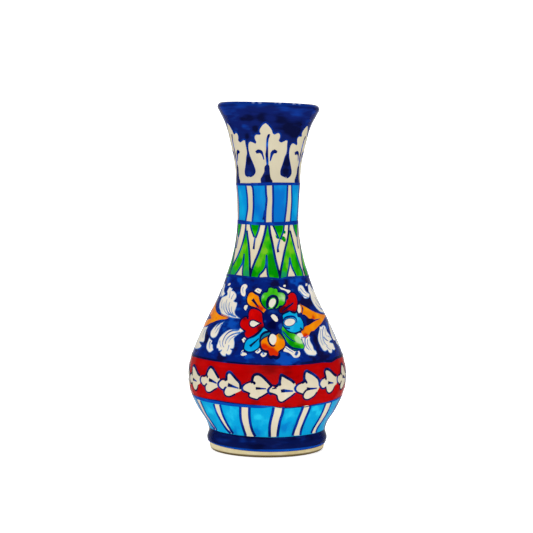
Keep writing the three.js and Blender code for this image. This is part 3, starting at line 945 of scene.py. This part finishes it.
def flower_outlines():
    """The dark lines round and along the petals."""
    ink = Painted("flower_outlines", "outline_blue", DARK_LINE)
    for outline in (GREEN_PETAL, RED_LEAF, RED_PETAL, BLUE_PETAL, BLUE_LEAF, ORANGE_PETAL, ORANGE_LEAF):
        ink.lines([outline], FLOWER_TURNS, True, 0.75, over(2),
                  dabs=[(24, 99, 6, 0.7), (-14, 84, 6, 0.5), (-4, 116, 5, 0.5), (12, 117, 4, 0.4)])
    ink.lines([RED_EYE], FLOWER_TURNS, True, 0.8, over(12), 0.7)
    ink.lines([
        [(0.2, 108, 1.3), (-0.2, 111, 1.7), (0.6, 114.4, 1.8), (2.6, 116.3, 1.7), (5.2, 116.4, 1.6),
         (6.9, 114.6, 1.6), (7.1, 112.2, 1.5), (6.2, 109.8, 1.3), (4.2, 107.8, 1.1)],
        [(10.5, 105.8, 0.6), (14, 108.3, 1.0), (17.5, 110.3, 1.1), (19.5, 111.6, 0.8)],
        [(24.5, 93.9, 1.3), (26.3, 93, 0.7)],
        [(2.4, 90.9, 0.7), (0.6, 88, 1.0), (0.8, 85.4, 1.0), (2.4, 83, 1.0), (4.2, 82.2, 0.9),
         (5.6, 82.8, 0.5)],
        [(-12.5, 81.8, 1.5), (-10, 84, 1.0), (-7.6, 86, 0.8), (-6, 87.5, 0.4)],
        [(-11, 114.1, 1.8), (-9.2, 112, 1.3), (-7.4, 109.8, 0.9), (-6.4, 108.5, 0.4)],
        [(14.3, 116.2, 1.0), (14.6, 115.3, 1.8), (13.9, 114, 0.8)],
        [(-5.4, 81.6, 0.7), (-4.2, 80, 1.3), (-2.6, 78.9, 1.5), (-0.6, 78.4, 1.3), (0.6, 78.2, 0.8)],
        [(0.4, 79, 0.8), (0.8, 76.4, 1.1), (2.4, 74.5, 1.7), (4.2, 75, 1.8), (6.4, 74.2, 2.0),
         (8.4, 75.6, 1.4), (8.4, 77.6, 0.9)],
        [(-5.2, 87.4, 0.8), (-4.2, 89.6, 1.0), (-2, 91.6, 1.1), (0.8, 92.2, 1.0), (2.6, 91.6, 0.7)],
        [(-13.8, 102.6, 0.8), (-14.8, 101.2, 1.4), (-14, 100.2, 0.6)],
    ], FLOWER_TURNS, lift=over(8))
    ink.finish()
    blue = Painted("petal_lines", "outline_blue", BRIGHT_LINE)
    blue.lines([BLUE_EYE], FLOWER_TURNS, True, 0.5, over(14), 0.7)
    blue.lines([GREEN_LEAF_FOOT], FLOWER_TURNS, False, 0.6, over(2))
    blue.lines([
        [(11.3, 99, 0.6), (12.8, 101.3, 1.0), (16, 102.2, 1.1), (19.5, 101.9, 1.0), (21.6, 100.2, 0.7),
         (21.8, 97.8, 0.5)],
        [(11.4, 96.2, 0.6), (13, 94.6, 0.9), (16.4, 94, 0.8)],
        [(11, 92.5, 0.5), (13.5, 89.5, 0.8), (17, 86.5, 0.7), (20.5, 84.8, 0.4)],
        [(12.5, 87, 0.6), (14.5, 83.5, 1.0), (18, 80.8, 1.1), (22, 79.8, 1.0), (25.5, 79.6, 0.7)],
    ], FLOWER_TURNS, lift=over(8), dabs=[(18, 81, 4, -0.8), (14, 101, 4, -0.6)])
    blue.finish()


flower()
flower_outlines()


# Cream shapes the ground was left off: leaves round the flower, and gaps at its petals' edges.
OVAL_LEAF = [(24, 121), (24.8, 123.2), (26.8, 123.7), (29.2, 123), (30.6, 121.2), (32.4, 119), (35.2, 117.6),
             (37.6, 116.8), (36, 114.6), (33, 114), (30, 114.4), (28.6, 116), (26.6, 117.8), (24.8, 119.2)]
LONG_LEAF = [(25.6, 87.6), (27.3, 87.4), (29, 87.6), (31, 88.3), (32.8, 87.6), (32.8, 85.4), (34, 83),
             (35.2, 81.2), (36, 78.8), (38, 77.4), (38.7, 75.9), (37.2, 74.7), (34, 74.8), (31, 75.4),
             (28.9, 76.8), (27.3, 79.6), (28, 81.5), (26.6, 84.4)]
UPPER_LEFT = [(-20.4, 100.6), (-22.5, 101.8), (-24.6, 103.2), (-25.3, 105), (-24.4, 107.4), (-23.6, 109.8),
              (-23.6, 111.4), (-25.4, 111.6), (-27, 112.2), (-25.6, 113.6), (-24.6, 115.4), (-25, 117.2),
              (-26.8, 118.8), (-28.4, 119.3), (-30, 119.1), (-29, 120.8), (-30.8, 121.2), (-32.2, 121.8),
              (-34, 120.8), (-35, 119.4), (-35.8, 118.2), (-34.6, 117.2), (-34.8, 116), (-37, 115.2),
              (-40, 114.4), (-42.5, 113.3), (-44, 111), (-44.2, 108.6), (-43, 106.4), (-41, 104.6),
              (-39, 102.9), (-36, 102.2), (-32, 101.6), (-28, 100.8), (-24, 100.6)]
LOWER_LEFT = [(-17.6, 92), (-19.5, 94), (-20.8, 93.4), (-21.2, 92.5), (-25, 92.8), (-29, 92.4), (-32.5, 90.8),
              (-36, 88.3), (-38.4, 85.8), (-39.4, 83), (-40.4, 80.6), (-40.2, 79.2), (-38.6, 78.8),
              (-38, 77.4), (-36.2, 77.8), (-35, 78.4), (-36.6, 76.4), (-35.4, 75), (-33.4, 74.2),
              (-31.6, 74.2), (-31.2, 76), (-29.4, 75.2), (-27.8, 75.6), (-26.6, 77.4), (-26.4, 78.4),
              (-28, 79.4), (-25.2, 80), (-24.6, 82), (-24.6, 84.5), (-25, 86.6), (-23.4, 88.4), (-21, 90.2)]
LOWER_RIGHT = [(44.6, 94), (46, 93.5), (49, 94.2), (52, 93.8), (53.6, 92), (54.2, 89.8), (57, 87.6),
               (58.6, 85.6), (60.6, 83.6), (56, 82.8), (55, 82.2), (58.5, 81.4), (60.8, 80.8), (61.6, 79),
               (63, 76.8), (60.5, 76.2), (57.6, 77.2), (56.5, 75), (54.2, 74.8), (52, 76), (51, 77.4),
               (49, 76.8), (46.4, 77), (44.2, 79), (42.2, 82), (41, 85), (41.4, 88), (43, 90.6), (44.2, 92.6)]
UPPER_RIGHT = [(36.8, 122.8), (40, 123.6), (42.5, 121.4), (46, 119.5), (50, 118.8), (52.4, 117.4),
               (51.8, 115.8), (55.2, 115.2), (57.4, 113), (56.4, 111.6), (59.6, 110.4), (61.4, 107.4),
               (60.2, 106), (63.4, 104.4), (66.4, 101.4), (62, 101.8), (55, 102.6), (50, 103.6),
               (46.4, 105.2), (43, 107.6), (40.2, 110.5), (38.6, 113.4), (38.4, 116.6), (36.6, 118.4)]
SMALL_LEAF = [(-34.6, 97.6), (-37.5, 96.6), (-41.5, 95.6), (-44.5, 93.8), (-47.6, 91.6), (-49.4, 89.2),
              (-49, 87), (-47.2, 85.9), (-44.8, 85.7), (-42, 86.8), (-40.2, 89.2), (-39, 92), (-37.2, 95)]
BUD = [(-50.2, 85.4), (-47.6, 84.2), (-45.8, 83.6), (-46.6, 81.8), (-44.9, 80.8), (-44.6, 79.2),
       (-43.6, 77.6), (-45.3, 76.4), (-47.5, 75.6), (-50.2, 76.6), (-52.2, 78.4), (-52.2, 80.8), (-51.2, 83)]
FAR_LEFT = [(-56, 92.6), (-58, 90), (-58, 86.8), (-57.2, 83.4), (-58, 81.9), (-62, 81.4), (-67, 81),
            (-60.5, 79), (-62, 77.6), (-66, 76.4), (-72, 75.6), (-80, 76.5), (-84, 82), (-80, 88),
            (-72, 90.5), (-64, 91.5)]
CHIPS = [
    [(-15.2, 123.2), (-16.2, 124.4), (-18.3, 124.4), (-20.2, 122.6), (-20.8, 119.8), (-20, 117.2),
     (-18.2, 116), (-17, 116.4), (-16.6, 118.6), (-16.7, 120.8), (-15.8, 122)],
    [(-9.6, 120), (-7.4, 122), (-4.2, 120.8), (-5.6, 118.3), (-7.2, 118.8)],
    [(-17.6, 107.8), (-16.4, 109.9), (-14.6, 109.8), (-15.2, 107.8), (-16.2, 106.2)],
    [(8.3, 123.2), (10.3, 122.4), (13.2, 121.4), (17.2, 120.2), (17, 119.4), (15.1, 118.2), (14, 119.6),
     (12, 120.7), (9.8, 121.3)],
    [(11.3, 123.4), (12, 124.4), (13.4, 124.3), (13.2, 122.8)],
    [(22.8, 107.6), (23.6, 109.8), (24.8, 110), (25.8, 107.8), (25.6, 105), (24.2, 104.2), (23.2, 105.2)],
    [(-8.8, 78.2), (-5.4, 81), (-4, 79.8), (-5.6, 77.8), (-7.4, 77.2)],
    [(-5, 76.4), (-2.8, 79), (-0.4, 77.2), (-1.2, 75.6), (-3.4, 74.8)],
    [(-18.8, 86.2), (-17, 87.9), (-15.6, 87), (-16.2, 85), (-17.6, 84.2)],
    [(-19.5, 76.2), (-18.3, 78.9), (-17.3, 79.2), (-17.6, 77.5), (-15.2, 77), (-14.8, 76.1), (-16.5, 75.4),
     (-19, 75.4)],
    [(11.4, 78.8), (13.2, 82.2), (15.6, 80.6), (18.4, 79), (20.6, 78.2), (23, 79), (24.2, 77), (23.9, 75.2),
     (21.8, 74), (19.4, 74.2), (17.6, 76), (15.5, 77.5), (13, 78.2)],
    [(21.6, 89.7), (23.8, 90.7), (25.6, 90.3), (27, 88.2), (25.8, 86.6), (24.6, 86.8)],
    [(-36, 122.6), (-34.6, 124.2), (-32.4, 124.5), (-32.2, 123.6), (-34, 122.8)],
]
ARROW = [(26.6, 109.8), (29.4, 108.6), (33, 107), (37, 105.3), (41, 103.9), (46, 102.6), (52, 101.5),
         (58, 100.8), (62, 100.4), (60, 99.4), (56, 98.8), (52, 97.6), (48, 96.1), (44, 94.5), (40, 92.8),
         (37, 91.4), (34.4, 91.2), (33, 89.9), (32, 88.4), (30.4, 87.1), (28.6, 86.7), (27.3, 88.3),
         (25.6, 90.6), (26, 92.4), (27.4, 93.8), (29.3, 94.9), (32.5, 95.6), (36, 96.8), (39.5, 97.9),
         (43.5, 98.5), (48, 99), (43.5, 99.2), (39.5, 99), (36.5, 99.9), (33.3, 100.1), (31.5, 101.6),
         (29, 103), (27, 103.4), (27.6, 105.2), (28.4, 107)]
SLIVER = [(25, 110.6), (26.2, 109.6), (27, 106.6), (26.4, 104.6), (25.5, 104.4), (25.9, 107.4)]
STEM_JOIN = [(-55, 98.8), (-52, 99.8), (-48, 100.4), (-43, 99.8), (-44, 98.4), (-48, 97.4), (-52, 98)]
STEM_SLIVER = [(-39.6, 102.6), (-36.6, 102.4), (-33, 101.8), (-30, 100.9), (-33.4, 101), (-37.4, 101.8)]
FAR_RIGHT = [(62.6, 93), (64.6, 95.2), (68, 94.8), (72, 93), (72, 84), (67, 82.4), (63.6, 83.6), (61.8, 86.6),
             (61.6, 90)]

LEAF_LIFT = 0.1  # the white leaves lie lower than the petals
EDGE_WIDTH = 0.45  # the fine blue line round a white leaf

LEAF_SHADE = [(-36, 107, 4, -0.3), (-28, 106, 3, -0.3), (-33, 86, 4, -0.3), (-47, 80, 3, -0.6),
              (48, 85, 4, -0.3)]
LEAF_BLUES = [(-48.4, 80.6, 1.6, 0.7), (-30.6, 107, 1.4, 0.5), (-34, 108, 1.2, 0.4), (-24, 102, 1.6, 0.4),
              (-33, 83, 1.2, 0.5), (47.2, 87, 1.8, 0.6), (29, 83, 1.4, 0.5), (26, 118.6, 1.4, 0.4),
              (47, 110, 2.4, 0.4), (-23, 91.4, 1.2, 0.4), (53, 106, 2, 0.4), (10, 122.4, 1.2, 0.6)]


def tapered(points, width):
    """A brush line that starts full and runs out thin."""
    last = len(points) - 1
    return [(x, y, width * (1 - 0.65 * i / last)) for i, (x, y) in enumerate(points)]


def hair(points):
    """A fine brush hair's mark, thinning out."""
    return tapered(points, 0.55)


def scroll_leaves():
    """White serrated leaves round each flower, their blue veins, and the orange stems between flowers."""
    leaves = Painted("scroll_leaves", "cream_glaze", WHITE)
    for outline in (OVAL_LEAF, LONG_LEAF, LOWER_LEFT, *CHIPS):
        leaves.shape(outline, FLOWER_TURNS, LEAF_SHADE, LEAF_LIFT, 0.8, LEAF_BLUES)
    leaves.shape(UPPER_LEFT, (0, -124), LEAF_SHADE, LEAF_LIFT, 0.8, LEAF_BLUES)
    leaves.shape(LOWER_RIGHT, (0, 121), LEAF_SHADE, LEAF_LIFT, 0.8, LEAF_BLUES)
    for outline in (UPPER_RIGHT, SMALL_LEAF, BUD, FAR_LEFT, FAR_RIGHT):
        leaves.shape(outline, (0,), LEAF_SHADE, LEAF_LIFT, 0.8, LEAF_BLUES)
    leaves.finish()

    stems = Painted("orange_stems", "orange_glaze", ORANGE)
    for outline in (ARROW, SLIVER):
        stems.shape(outline, FLOWER_TURNS, [(28.6, 87.4, 2.2, -1.4), (31, 107, 3, 0.5),
                                            (38, 100.2, 2.4, -0.7), (44, 102, 4, 0.4), (50, 97.6, 4, 0.6),
                                            (38, 95, 4, 0.3), (28, 93, 2, -0.3)], PAINT_LIFT)
    for outline in (STEM_JOIN, STEM_SLIVER):
        stems.shape(outline, (0,), [(-50, 98, 4, -0.3)], PAINT_LIFT)
    stems.finish()

    edges = Painted("leaf_edges", "outline_blue", VEIN_BLUE)
    for outline in (OVAL_LEAF, LONG_LEAF, LOWER_LEFT):
        edges.lines([outline], FLOWER_TURNS, True, EDGE_WIDTH, UNDER_LIFT)
    for outline in (SMALL_LEAF, BUD, FAR_LEFT, UPPER_LEFT, UPPER_RIGHT, LOWER_RIGHT):
        edges.lines([outline], (0,), True, EDGE_WIDTH, UNDER_LIFT)
    edges.finish()

    veins = Painted("leaf_veins", "outline_blue", VEIN_BLUE)
    veins.lines([tapered(line, 0.9) for line in (
        [(25.2, 119.6), (28, 117), (31, 115.4), (35, 114.4)],
        [(28.8, 87.6), (28.4, 84), (29.4, 81), (32, 78.6)],
        [(-22, 92.2), (-26, 92), (-29.6, 90.6), (-32.8, 87.8), (-34.6, 84.4), (-34.6, 81.6), (-33.2, 80.2)],
        [(-20, 91), (-25, 89.8), (-29.4, 87.6), (-31.8, 84.8), (-32.3, 82.4)],
        [(-6, 79.8), (-7.6, 78)], [(-3.6, 78), (-2, 76.2)], [(-2.2, 78.2), (-3.4, 76)],
        [(-19.4, 76.6), (-17.6, 78.4)], [(-16.6, 86.4), (-15.8, 85)],
    )], FLOWER_TURNS, dabs=[(-30, 88, 5, -0.7), (-32, 82.6, 1.6, -1.4)])
    veins.lines([hair(line) for line in (
        [(26.4, 121.6), (29.4, 118.8), (33, 116.8)], [(30.6, 86), (30.6, 83), (32, 80.4), (34, 78)],
        [(-24, 88.6), (-27.6, 86.4), (-29.6, 83.6)], [(-37.6, 84.4), (-37.2, 82), (-36, 80)],
        [(-29, 82), (-29.6, 79.4), (-30.6, 77.6)], [(-18.6, 122.6), (-19, 120.4), (-18.4, 118)],
        [(-7.6, 120.8), (-5.8, 119.4)], [(13, 81.2), (16, 79.2), (19, 77.6)],
    )], FLOWER_TURNS)
    veins.lines([tapered(line, 0.9) for line in (
        [(-24, 101.5), (-27.6, 102.8), (-30.2, 105.2), (-31.3, 108.4), (-30.6, 111.4)],
        [(-26, 101.8), (-30.6, 103.4), (-33.4, 106), (-34.9, 109.4), (-34.2, 113)],
    )], (0, -124), dabs=[(-31, 108, 4, -0.6)])
    veins.lines([hair(line) for line in (
        [(-30, 102.2), (-35, 104.4), (-37.4, 107.4), (-37.2, 111)], [(-26.4, 103), (-28.2, 105.4),
                                                                     (-28.4, 108.4)],
        [(-29.6, 113.4), (-28.4, 115.6), (-27, 117.4)], [(-32, 114), (-31.4, 117), (-31.8, 119.6)],
        [(-40, 106.4), (-41.2, 109), (-40.4, 112)],
    )], (0, -124))
    veins.lines([tapered(line, 0.9) for line in (
        [(50, 93.2), (47.4, 90), (46.8, 86), (48.2, 82.5), (51.5, 80)],
        [(47.8, 86.5), (50.5, 84.4), (53.6, 83.2)],
    )], (0, 121), dabs=[(52, 83.6, 2.4, -1.3)])
    veins.lines([hair(line) for line in (
        [(46, 92), (44, 88.6), (44, 84.6), (46, 80.6)], [(52, 92), (51, 88.4), (53, 86)],
        [(50, 80), (52.6, 78), (55, 77)], [(56.6, 85.6), (53.6, 86.8)],
    )], (0, 121))
    veins.lines([tapered(line, 0.9) for line in (
        [(58, 104.4), (53.6, 105.4), (49, 107.2), (44.4, 110.2)], [(57, 107.6), (51, 110), (46, 114)],
        [(-38.6, 96.4), (-41.4, 94.8), (-43.6, 92.6), (-44.4, 91)], [(-48, 83.4), (-49, 80.6), (-47.6, 78)],
        [(-60, 90), (-62, 87), (-61, 84)],
    )], dabs=[(-42, 94.6, 3, -1.0)])
    veins.lines([hair(line) for line in (
        [(-40.4, 93), (-42, 90.6), (-43.4, 89)], [(-46.4, 82.4), (-47.2, 80)], [(42, 119.6), (45, 117.4)],
        [(-37, 96), (-38.4, 94.4), (-39.6, 92.6)],
    )])
    veins.lines([[(20.4, 75.6, 1.2), (21.4, 77, 1.8), (22.4, 78, 1.0)]],
                FLOWER_TURNS, dabs=[(21, 77, 2, -1.2)])
    veins.finish()


scroll_leaves()


# ---------------------------------------------------------------- red band: a garland of bells

BELLS = [
    [(-56.4, 55.6), (-55, 57.6), (-52, 57.8), (-49.6, 58.8), (-48.4, 61), (-47, 63.6), (-45, 65.2),
     (-42.8, 64.8), (-40.4, 62.6), (-38, 59.8), (-36.4, 58), (-37.4, 54.6), (-38.6, 51.6), (-41, 50.4),
     (-44, 48.6), (-47, 47.6), (-49.6, 48.4), (-50.8, 50.4), (-50.9, 52.2), (-53, 52.2), (-55, 53.6)],
    [(-37, 54.2), (-36.2, 56), (-34.2, 57.2), (-31.6, 57.2), (-29.8, 57.6), (-30, 59.4), (-29.6, 61.6),
     (-28.2, 62.9), (-26.6, 62.7), (-24.4, 60.8), (-21.6, 58), (-19.2, 55.6), (-18.8, 51.2), (-20.5, 50),
     (-23.2, 48.6), (-26.4, 46.8), (-29, 46.3), (-31.6, 47.4), (-32.4, 49.8), (-31.4, 51.8), (-33.4, 51),
     (-35.4, 52)],
    [(-17.6, 52.8), (-16, 55), (-13.5, 56.2), (-11.2, 56.8), (-10, 56.6), (-10.2, 57.5), (-9.9, 60),
     (-9, 61.6), (-7.4, 62.3), (-5.2, 62.2), (-2.6, 60.6), (0.3, 57.8), (2.4, 55.6), (3.5, 54.5), (2.8, 52),
     (1.4, 50.6), (-1.2, 49), (-3.4, 47.6), (-5.6, 46.4), (-6.8, 45.2), (-8.6, 45.6), (-11.2, 46.3),
     (-12.8, 47.2), (-13, 48.6), (-12.4, 49.6), (-14.4, 50.4), (-16.4, 51.2)],
    [(1.3, 51.3), (1.6, 52.9), (3.6, 54.2), (6, 53.5), (8, 54.8), (9.2, 56.2), (9.4, 57.5), (9.9, 60.4),
     (10.3, 62), (12.2, 61.2), (15, 59.6), (18, 57.8), (20.4, 55.8), (20.2, 52), (20.4, 49.6), (17.8, 47.6),
     (15, 45.8), (12, 43.8), (10.2, 43.2), (8.4, 44.2), (7.4, 46.2), (7, 48.2), (5.4, 49.2), (3.4, 49.8),
     (1.8, 50.3)],
    [(20.9, 52.3), (21.6, 54.2), (23.6, 55), (26, 55.8), (28, 56.6), (27.9, 58), (27.8, 60.6), (28.4, 63),
     (29.8, 64), (31.6, 63.2), (34.4, 61.8), (37.2, 60), (40.2, 57.5), (41, 55), (40.5, 52), (38.6, 49.2),
     (36.2, 46.6), (33.2, 45), (30.4, 44.2), (28, 44.8), (26.7, 46.6), (26.8, 48.4), (24, 49.4), (22, 50.2)],
    [(41.2, 54.5), (42.4, 56.6), (45, 57.5), (47.4, 58.2), (46.8, 60), (46.4, 62.4), (47.4, 63.7),
     (49.4, 63.8), (52.2, 62.8), (55, 61), (58, 59), (61, 57.9), (60.5, 52.5), (58, 51.6), (56.4, 49.4),
     (54, 47.6), (51.2, 47.1), (49, 48.2), (47.8, 50.2), (47.4, 52.2), (45.6, 51.3), (43, 51.6),
     (41.6, 52.8)],
]
BELL_HEARTS = [
    [(-46.6, 56.5, 2.2), (-43.6, 56, 1.7), (-39, 54.7, 0.9)],
    [(-29.2, 54.4, 2.4), (-26.4, 53.8, 1.7), (-20.8, 52.4, 0.8)],
    [(-8.2, 52.8, 1.6), (-5.4, 52.8, 1.3), (-0.8, 52.6, 0.7)],
    [(9.8, 50.9, 1.6), (12.2, 51.1, 2.0), (18.6, 50.6, 0.8)],
    [(29.4, 51.5, 2.2), (31.8, 51.5, 1.5), (38.2, 51.5, 0.8)],
    [(49.4, 54.4, 2), (51.6, 54.2, 1.4), (56, 53.6, 0.7)],
]
LAST_BELL = [(-6.4, 53.6), (-5.4, 55.4), (-3.8, 56.2), (-2.8, 58.6), (-1.4, 60.6), (0.4, 61), (2.6, 59.4),
             (4.6, 57.2), (6.2, 55.6), (6, 52), (4.2, 50), (2, 48.2), (-0.4, 47.6), (-2.4, 48.6),
             (-3.2, 50.6), (-4.8, 51.4)]
LAST_HEART = [(-1.2, 54, 1.7), (0.6, 53.8, 1.2), (4, 53.4, 0.5)]
GARLAND_TURNS = (0, 116, -116)
CURLS = [[(-50.6, 49.6, 0.7), (-50.8, 51.8, 1.1), (-49.6, 53, 1.2), (-48.6, 53.4, 0.6)],
         [(-32.8, 48.4, 0.8), (-32.4, 50.6, 1.2), (-31.2, 52.2, 1.3), (-30.2, 52.6, 0.6)],
         [(26.4, 46, 0.8), (26.9, 48.2, 1.1), (28.6, 50.4, 1.1), (30.4, 51.4, 0.6)],
         [(-9.6, 57.6, 1.0), (-9, 56.2, 1.6), (-8.6, 55.6, 0.7)], [(9, 57, 0.9), (9.2, 55.6, 1.5),
                                                                   (8.4, 55, 0.8)],
         [(28, 58.6, 0.9), (29, 56.6, 1.3), (29.8, 55.6, 0.7)],
         [(46.4, 59.4, 0.9), (47.2, 57.6, 1.6), (47.4, 56.6, 0.6)],
         [(-49, 60, 0.9), (-48.6, 58.6, 1.5), (-48.4, 57.6, 0.6)], [(3.4, 52.6, 0.4), (5, 53, 0.9),
                                                                    (6.6, 53.3, 1.1)]]


def garland():
    """Nineteen cream bells, each growing out of the next; a small one closes the ring behind."""
    bells = Painted("garland_bells", "cream_glaze", SHADED_WARM_CREAM)
    ink = Painted("garland_outlines", "outline_blue", DARK_LINE)
    arcs = Painted("garland_arcs", "outline_blue", BRIGHT_LINE)
    chain = [(outline, heart, GARLAND_TURNS) for outline, heart in zip(BELLS, BELL_HEARTS)]
    for outline, heart, turns in chain + [(LAST_BELL, LAST_HEART, (180,))]:
        bells.shape(outline, turns, step=0.8)
        tip = outline.index(max(outline, key=lambda p: p[0]))
        upper, lower = outline[1:tip + 1], outline[tip:]
        ink.lines([[(x - 0.5, y + 0.5, 1.6) for x, y in upper[2:]],
                   [(x + 0.3, y + 1.0, 0.9) for x, y in upper[:3]],
                   [(x - 0.2, y - 0.6, 1.0) for x, y in lower[2:]],
                   heart[:2] + [(heart[1][0] + 1.6, heart[1][1] - 0.2, 0.6)]], turns,
                  dabs=[(x - 1, y + 1, 1.8, 0.4) for x, y in upper[4:-1:3]])
        x, y = outline[0]
        arcs.lines([[(x + 2.4, y + 3.2, 0.7), (x + 0.4, y + 2, 1.2), (x - 0.7, y, 1.5), (x + 0.2, y - 2, 1.2),
                     (x + 2, y - 3.1, 0.7)], [(px, py, width * 0.9) for px, py, width in heart[1:]]], turns,
                   dabs=[(x, y + 2.6, 1.6, -0.9), (x + 1, y - 3, 1.6, -0.9)])
    ink.lines(CURLS, GARLAND_TURNS)
    bells.finish()
    ink.finish()
    arcs.finish()


garland()


# ---------------------------------------------------------------- lower band: fifteen cream stripes

LOWER_STRIPES = [  # left edge, right edge, turns
    ([(-42, 38.8), (-40.6, 33.5), (-38, 28.5), (-35, 23.5), (-31.6, 19.5), (-27.6, 16.5)],
     [(-37, 38.8), (-35.8, 33.5), (-34, 28.5), (-31.4, 23.5), (-28.8, 19.5), (-26.6, 16.5)], (0, 120, -120)),
    ([(-18.9, 38.8), (-19, 33), (-18.6, 28), (-17.2, 22.5), (-15.6, 17.5), (-15, 15.8)],
     [(-13.3, 38.8), (-13.4, 33), (-13, 28), (-12, 22.5), (-10.4, 18), (-9, 15.8)], (0, 120, -120)),
    ([(5.2, 38.8), (4.4, 34), (3.2, 29), (2.5, 24), (2.4, 20), (2.6, 15.6)],
     [(11.2, 38.8), (10.4, 34), (8.9, 29), (8, 24), (7.4, 20), (7, 15.6)], (0, 120, -120)),
    ([(27.4, 38.8), (26, 34.5), (24, 29.5), (22.3, 24), (20.8, 20), (19.6, 15.8)],
     [(32.6, 38.8), (31, 34), (28.8, 29), (27, 24), (25.6, 20), (25, 15.8)], (0, 120, -120)),
    ([(49, 39.2), (47, 33.5), (44.6, 28.5), (41.4, 23), (38.4, 19), (36.8, 16)],
     [(55.6, 39.4), (53.6, 33.5), (50.6, 28), (46.5, 22.5), (43, 19), (41.4, 16)], (0, 120)),
    ([(-66, 39), (-62, 32), (-57.5, 26), (-52, 21), (-46, 17)],
     [(-60, 39), (-57, 32), (-53.4, 26), (-48.5, 21), (-44, 17)], (0,)),
]

STRIPE_INK = [(x, 19, 5, -0.9) for x in range(-35, 45, 10)]  # darker where the brush was lifted

lower_stripes = Painted("lower_stripes", "cream_glaze", SHADED_WARM_CREAM)
lower_ink = Painted("lower_stripe_outlines", "outline_blue", BRIGHT_LINE)
for left, right, turns in LOWER_STRIPES:
    lower_stripes.shape(stripe(left, right), turns, step=2)
    lower_ink.lines([beside(left, -0.6, 1.6), beside(right, 0.6, 1.6)], turns, step=2, dabs=STRIPE_INK)
lower_stripes.finish()
lower_ink.finish()


# ---------------------------------------------------------------- studio

FLOOR_BACK = 0.6  # metres of paper behind the vase before it bends up
BEND = 0.35
WALL_RADIUS = 4.4
CAMERA_AWAY = 1.2
CAMERA_HEIGHT = 0.214
AIM_HEIGHT = 0.1357
ASIDE = -0.89 * MM  # camera and aim stand a touch left of the axis
ROLL = math.radians(0.25)


def studio():
    """A white sweep and a far wall, soft lamps round the front, and two panes behind for the edges' shine."""
    scene = bpy.context.scene
    scene.view_settings.view_transform = "Standard"
    world = bpy.data.worlds.new("studio air")
    scene.world = world
    world.use_nodes = True
    air = next(n for n in world.node_tree.nodes if n.type == "BACKGROUND")
    air.inputs["Color"].default_value = (1, 1, 1, 1)
    air.inputs["Strength"].default_value = 0.015

    bm = bmesh.new()
    bow = [(FLOOR_BACK + BEND * math.sin(a), BEND - BEND * math.cos(a)) for a in
           [math.radians(15 * i) for i in range(7)]]
    line = [bm.verts.new((-4, y, z)) for y, z in [(-4, 0)] + bow + [(FLOOR_BACK + BEND, 3)]]
    edges = [bm.edges.new(pair) for pair in zip(line, line[1:])]
    swept = bmesh.ops.extrude_edge_only(bm, edges=edges)["geom"]
    bmesh.ops.translate(bm, vec=(8, 0, 0), verts=[g for g in swept if isinstance(g, bmesh.types.BMVert)])
    mesh = bpy.data.meshes.new("sweep")
    bm.to_mesh(mesh)
    bm.free()
    for polygon in mesh.polygons:
        polygon.use_smooth = True
    sweep = bpy.data.objects.new("sweep", mesh)
    scene.collection.objects.link(sweep)
    sweep.visible_glossy = False
    paper = bpy.data.materials.new("white paper")
    paper.use_nodes = True
    coat = next(n for n in paper.node_tree.nodes if n.type == "BSDF_PRINCIPLED")
    coat.inputs["Base Color"].default_value = (0.9, 0.9, 0.9, 1)
    coat.inputs["Roughness"].default_value = 0.9
    coat.inputs["Emission Color"].default_value = (1, 1, 1, 1)
    coat.inputs["Emission Strength"].default_value = 0.7
    mesh.materials.append(paper)

    bm = spun([(WALL_RADIUS, -0.1), (WALL_RADIUS, 5)], False)
    mesh = bpy.data.meshes.new("far_wall")
    bm.to_mesh(mesh)
    bm.free()
    mesh.materials.append(paper)
    far_wall = bpy.data.objects.new("far_wall", mesh)
    scene.collection.objects.link(far_wall)
    far_wall.visible_diffuse = far_wall.visible_glossy = far_wall.visible_transmission = False
    far_wall.visible_shadow = False

    def lamp(name, place, size, power, shines):
        """A soft lamp aimed at the vase; only a shining one is seen mirrored in the glaze."""
        data = bpy.data.lights.new(name, "AREA")
        data.shape = "RECTANGLE"
        data.size, data.size_y = size
        data.energy = power
        made = bpy.data.objects.new(name, data)
        scene.collection.objects.link(made)
        made.location = place
        made.rotation_euler = (Vector((0, 0, 0.12)) - made.location).to_track_quat("-Z", "Y").to_euler()
        made.visible_glossy = shines
        made.visible_camera = False

    lamp("front", (0, -1.6, 0.5), (1.6, 1.2), 11.5, False)
    lamp("left", (-1.3, -0.5, 0.5), (0.9, 1.4), 5, False)
    lamp("right", (1.3, -0.5, 0.5), (0.9, 1.4), 5, False)
    lamp("above", (0, -0.1, 1.6), (1.6, 1.6), 6, False)
    lamp("back panel", (0, 0.9, 0.2), (0.9, 1.6), 1.5, True)
    lamp("back glow", (0, 0.95, 0.2), (2.0, 1.8), 1.4, True)

    lens = bpy.data.cameras.new("camera")
    lens.lens = 109.5
    lens.clip_start = 0.05
    camera = bpy.data.objects.new("camera", lens)
    scene.collection.objects.link(camera)
    camera.location = (ASIDE, -CAMERA_AWAY, CAMERA_HEIGHT)
    aim = Vector((ASIDE, 0, AIM_HEIGHT)) - camera.location
    turn = aim.to_track_quat("-Z", "Y").to_matrix() @ Matrix.Rotation(ROLL, 3, "Z")
    camera.rotation_euler = turn.to_euler()
    scene.camera = camera


studio()
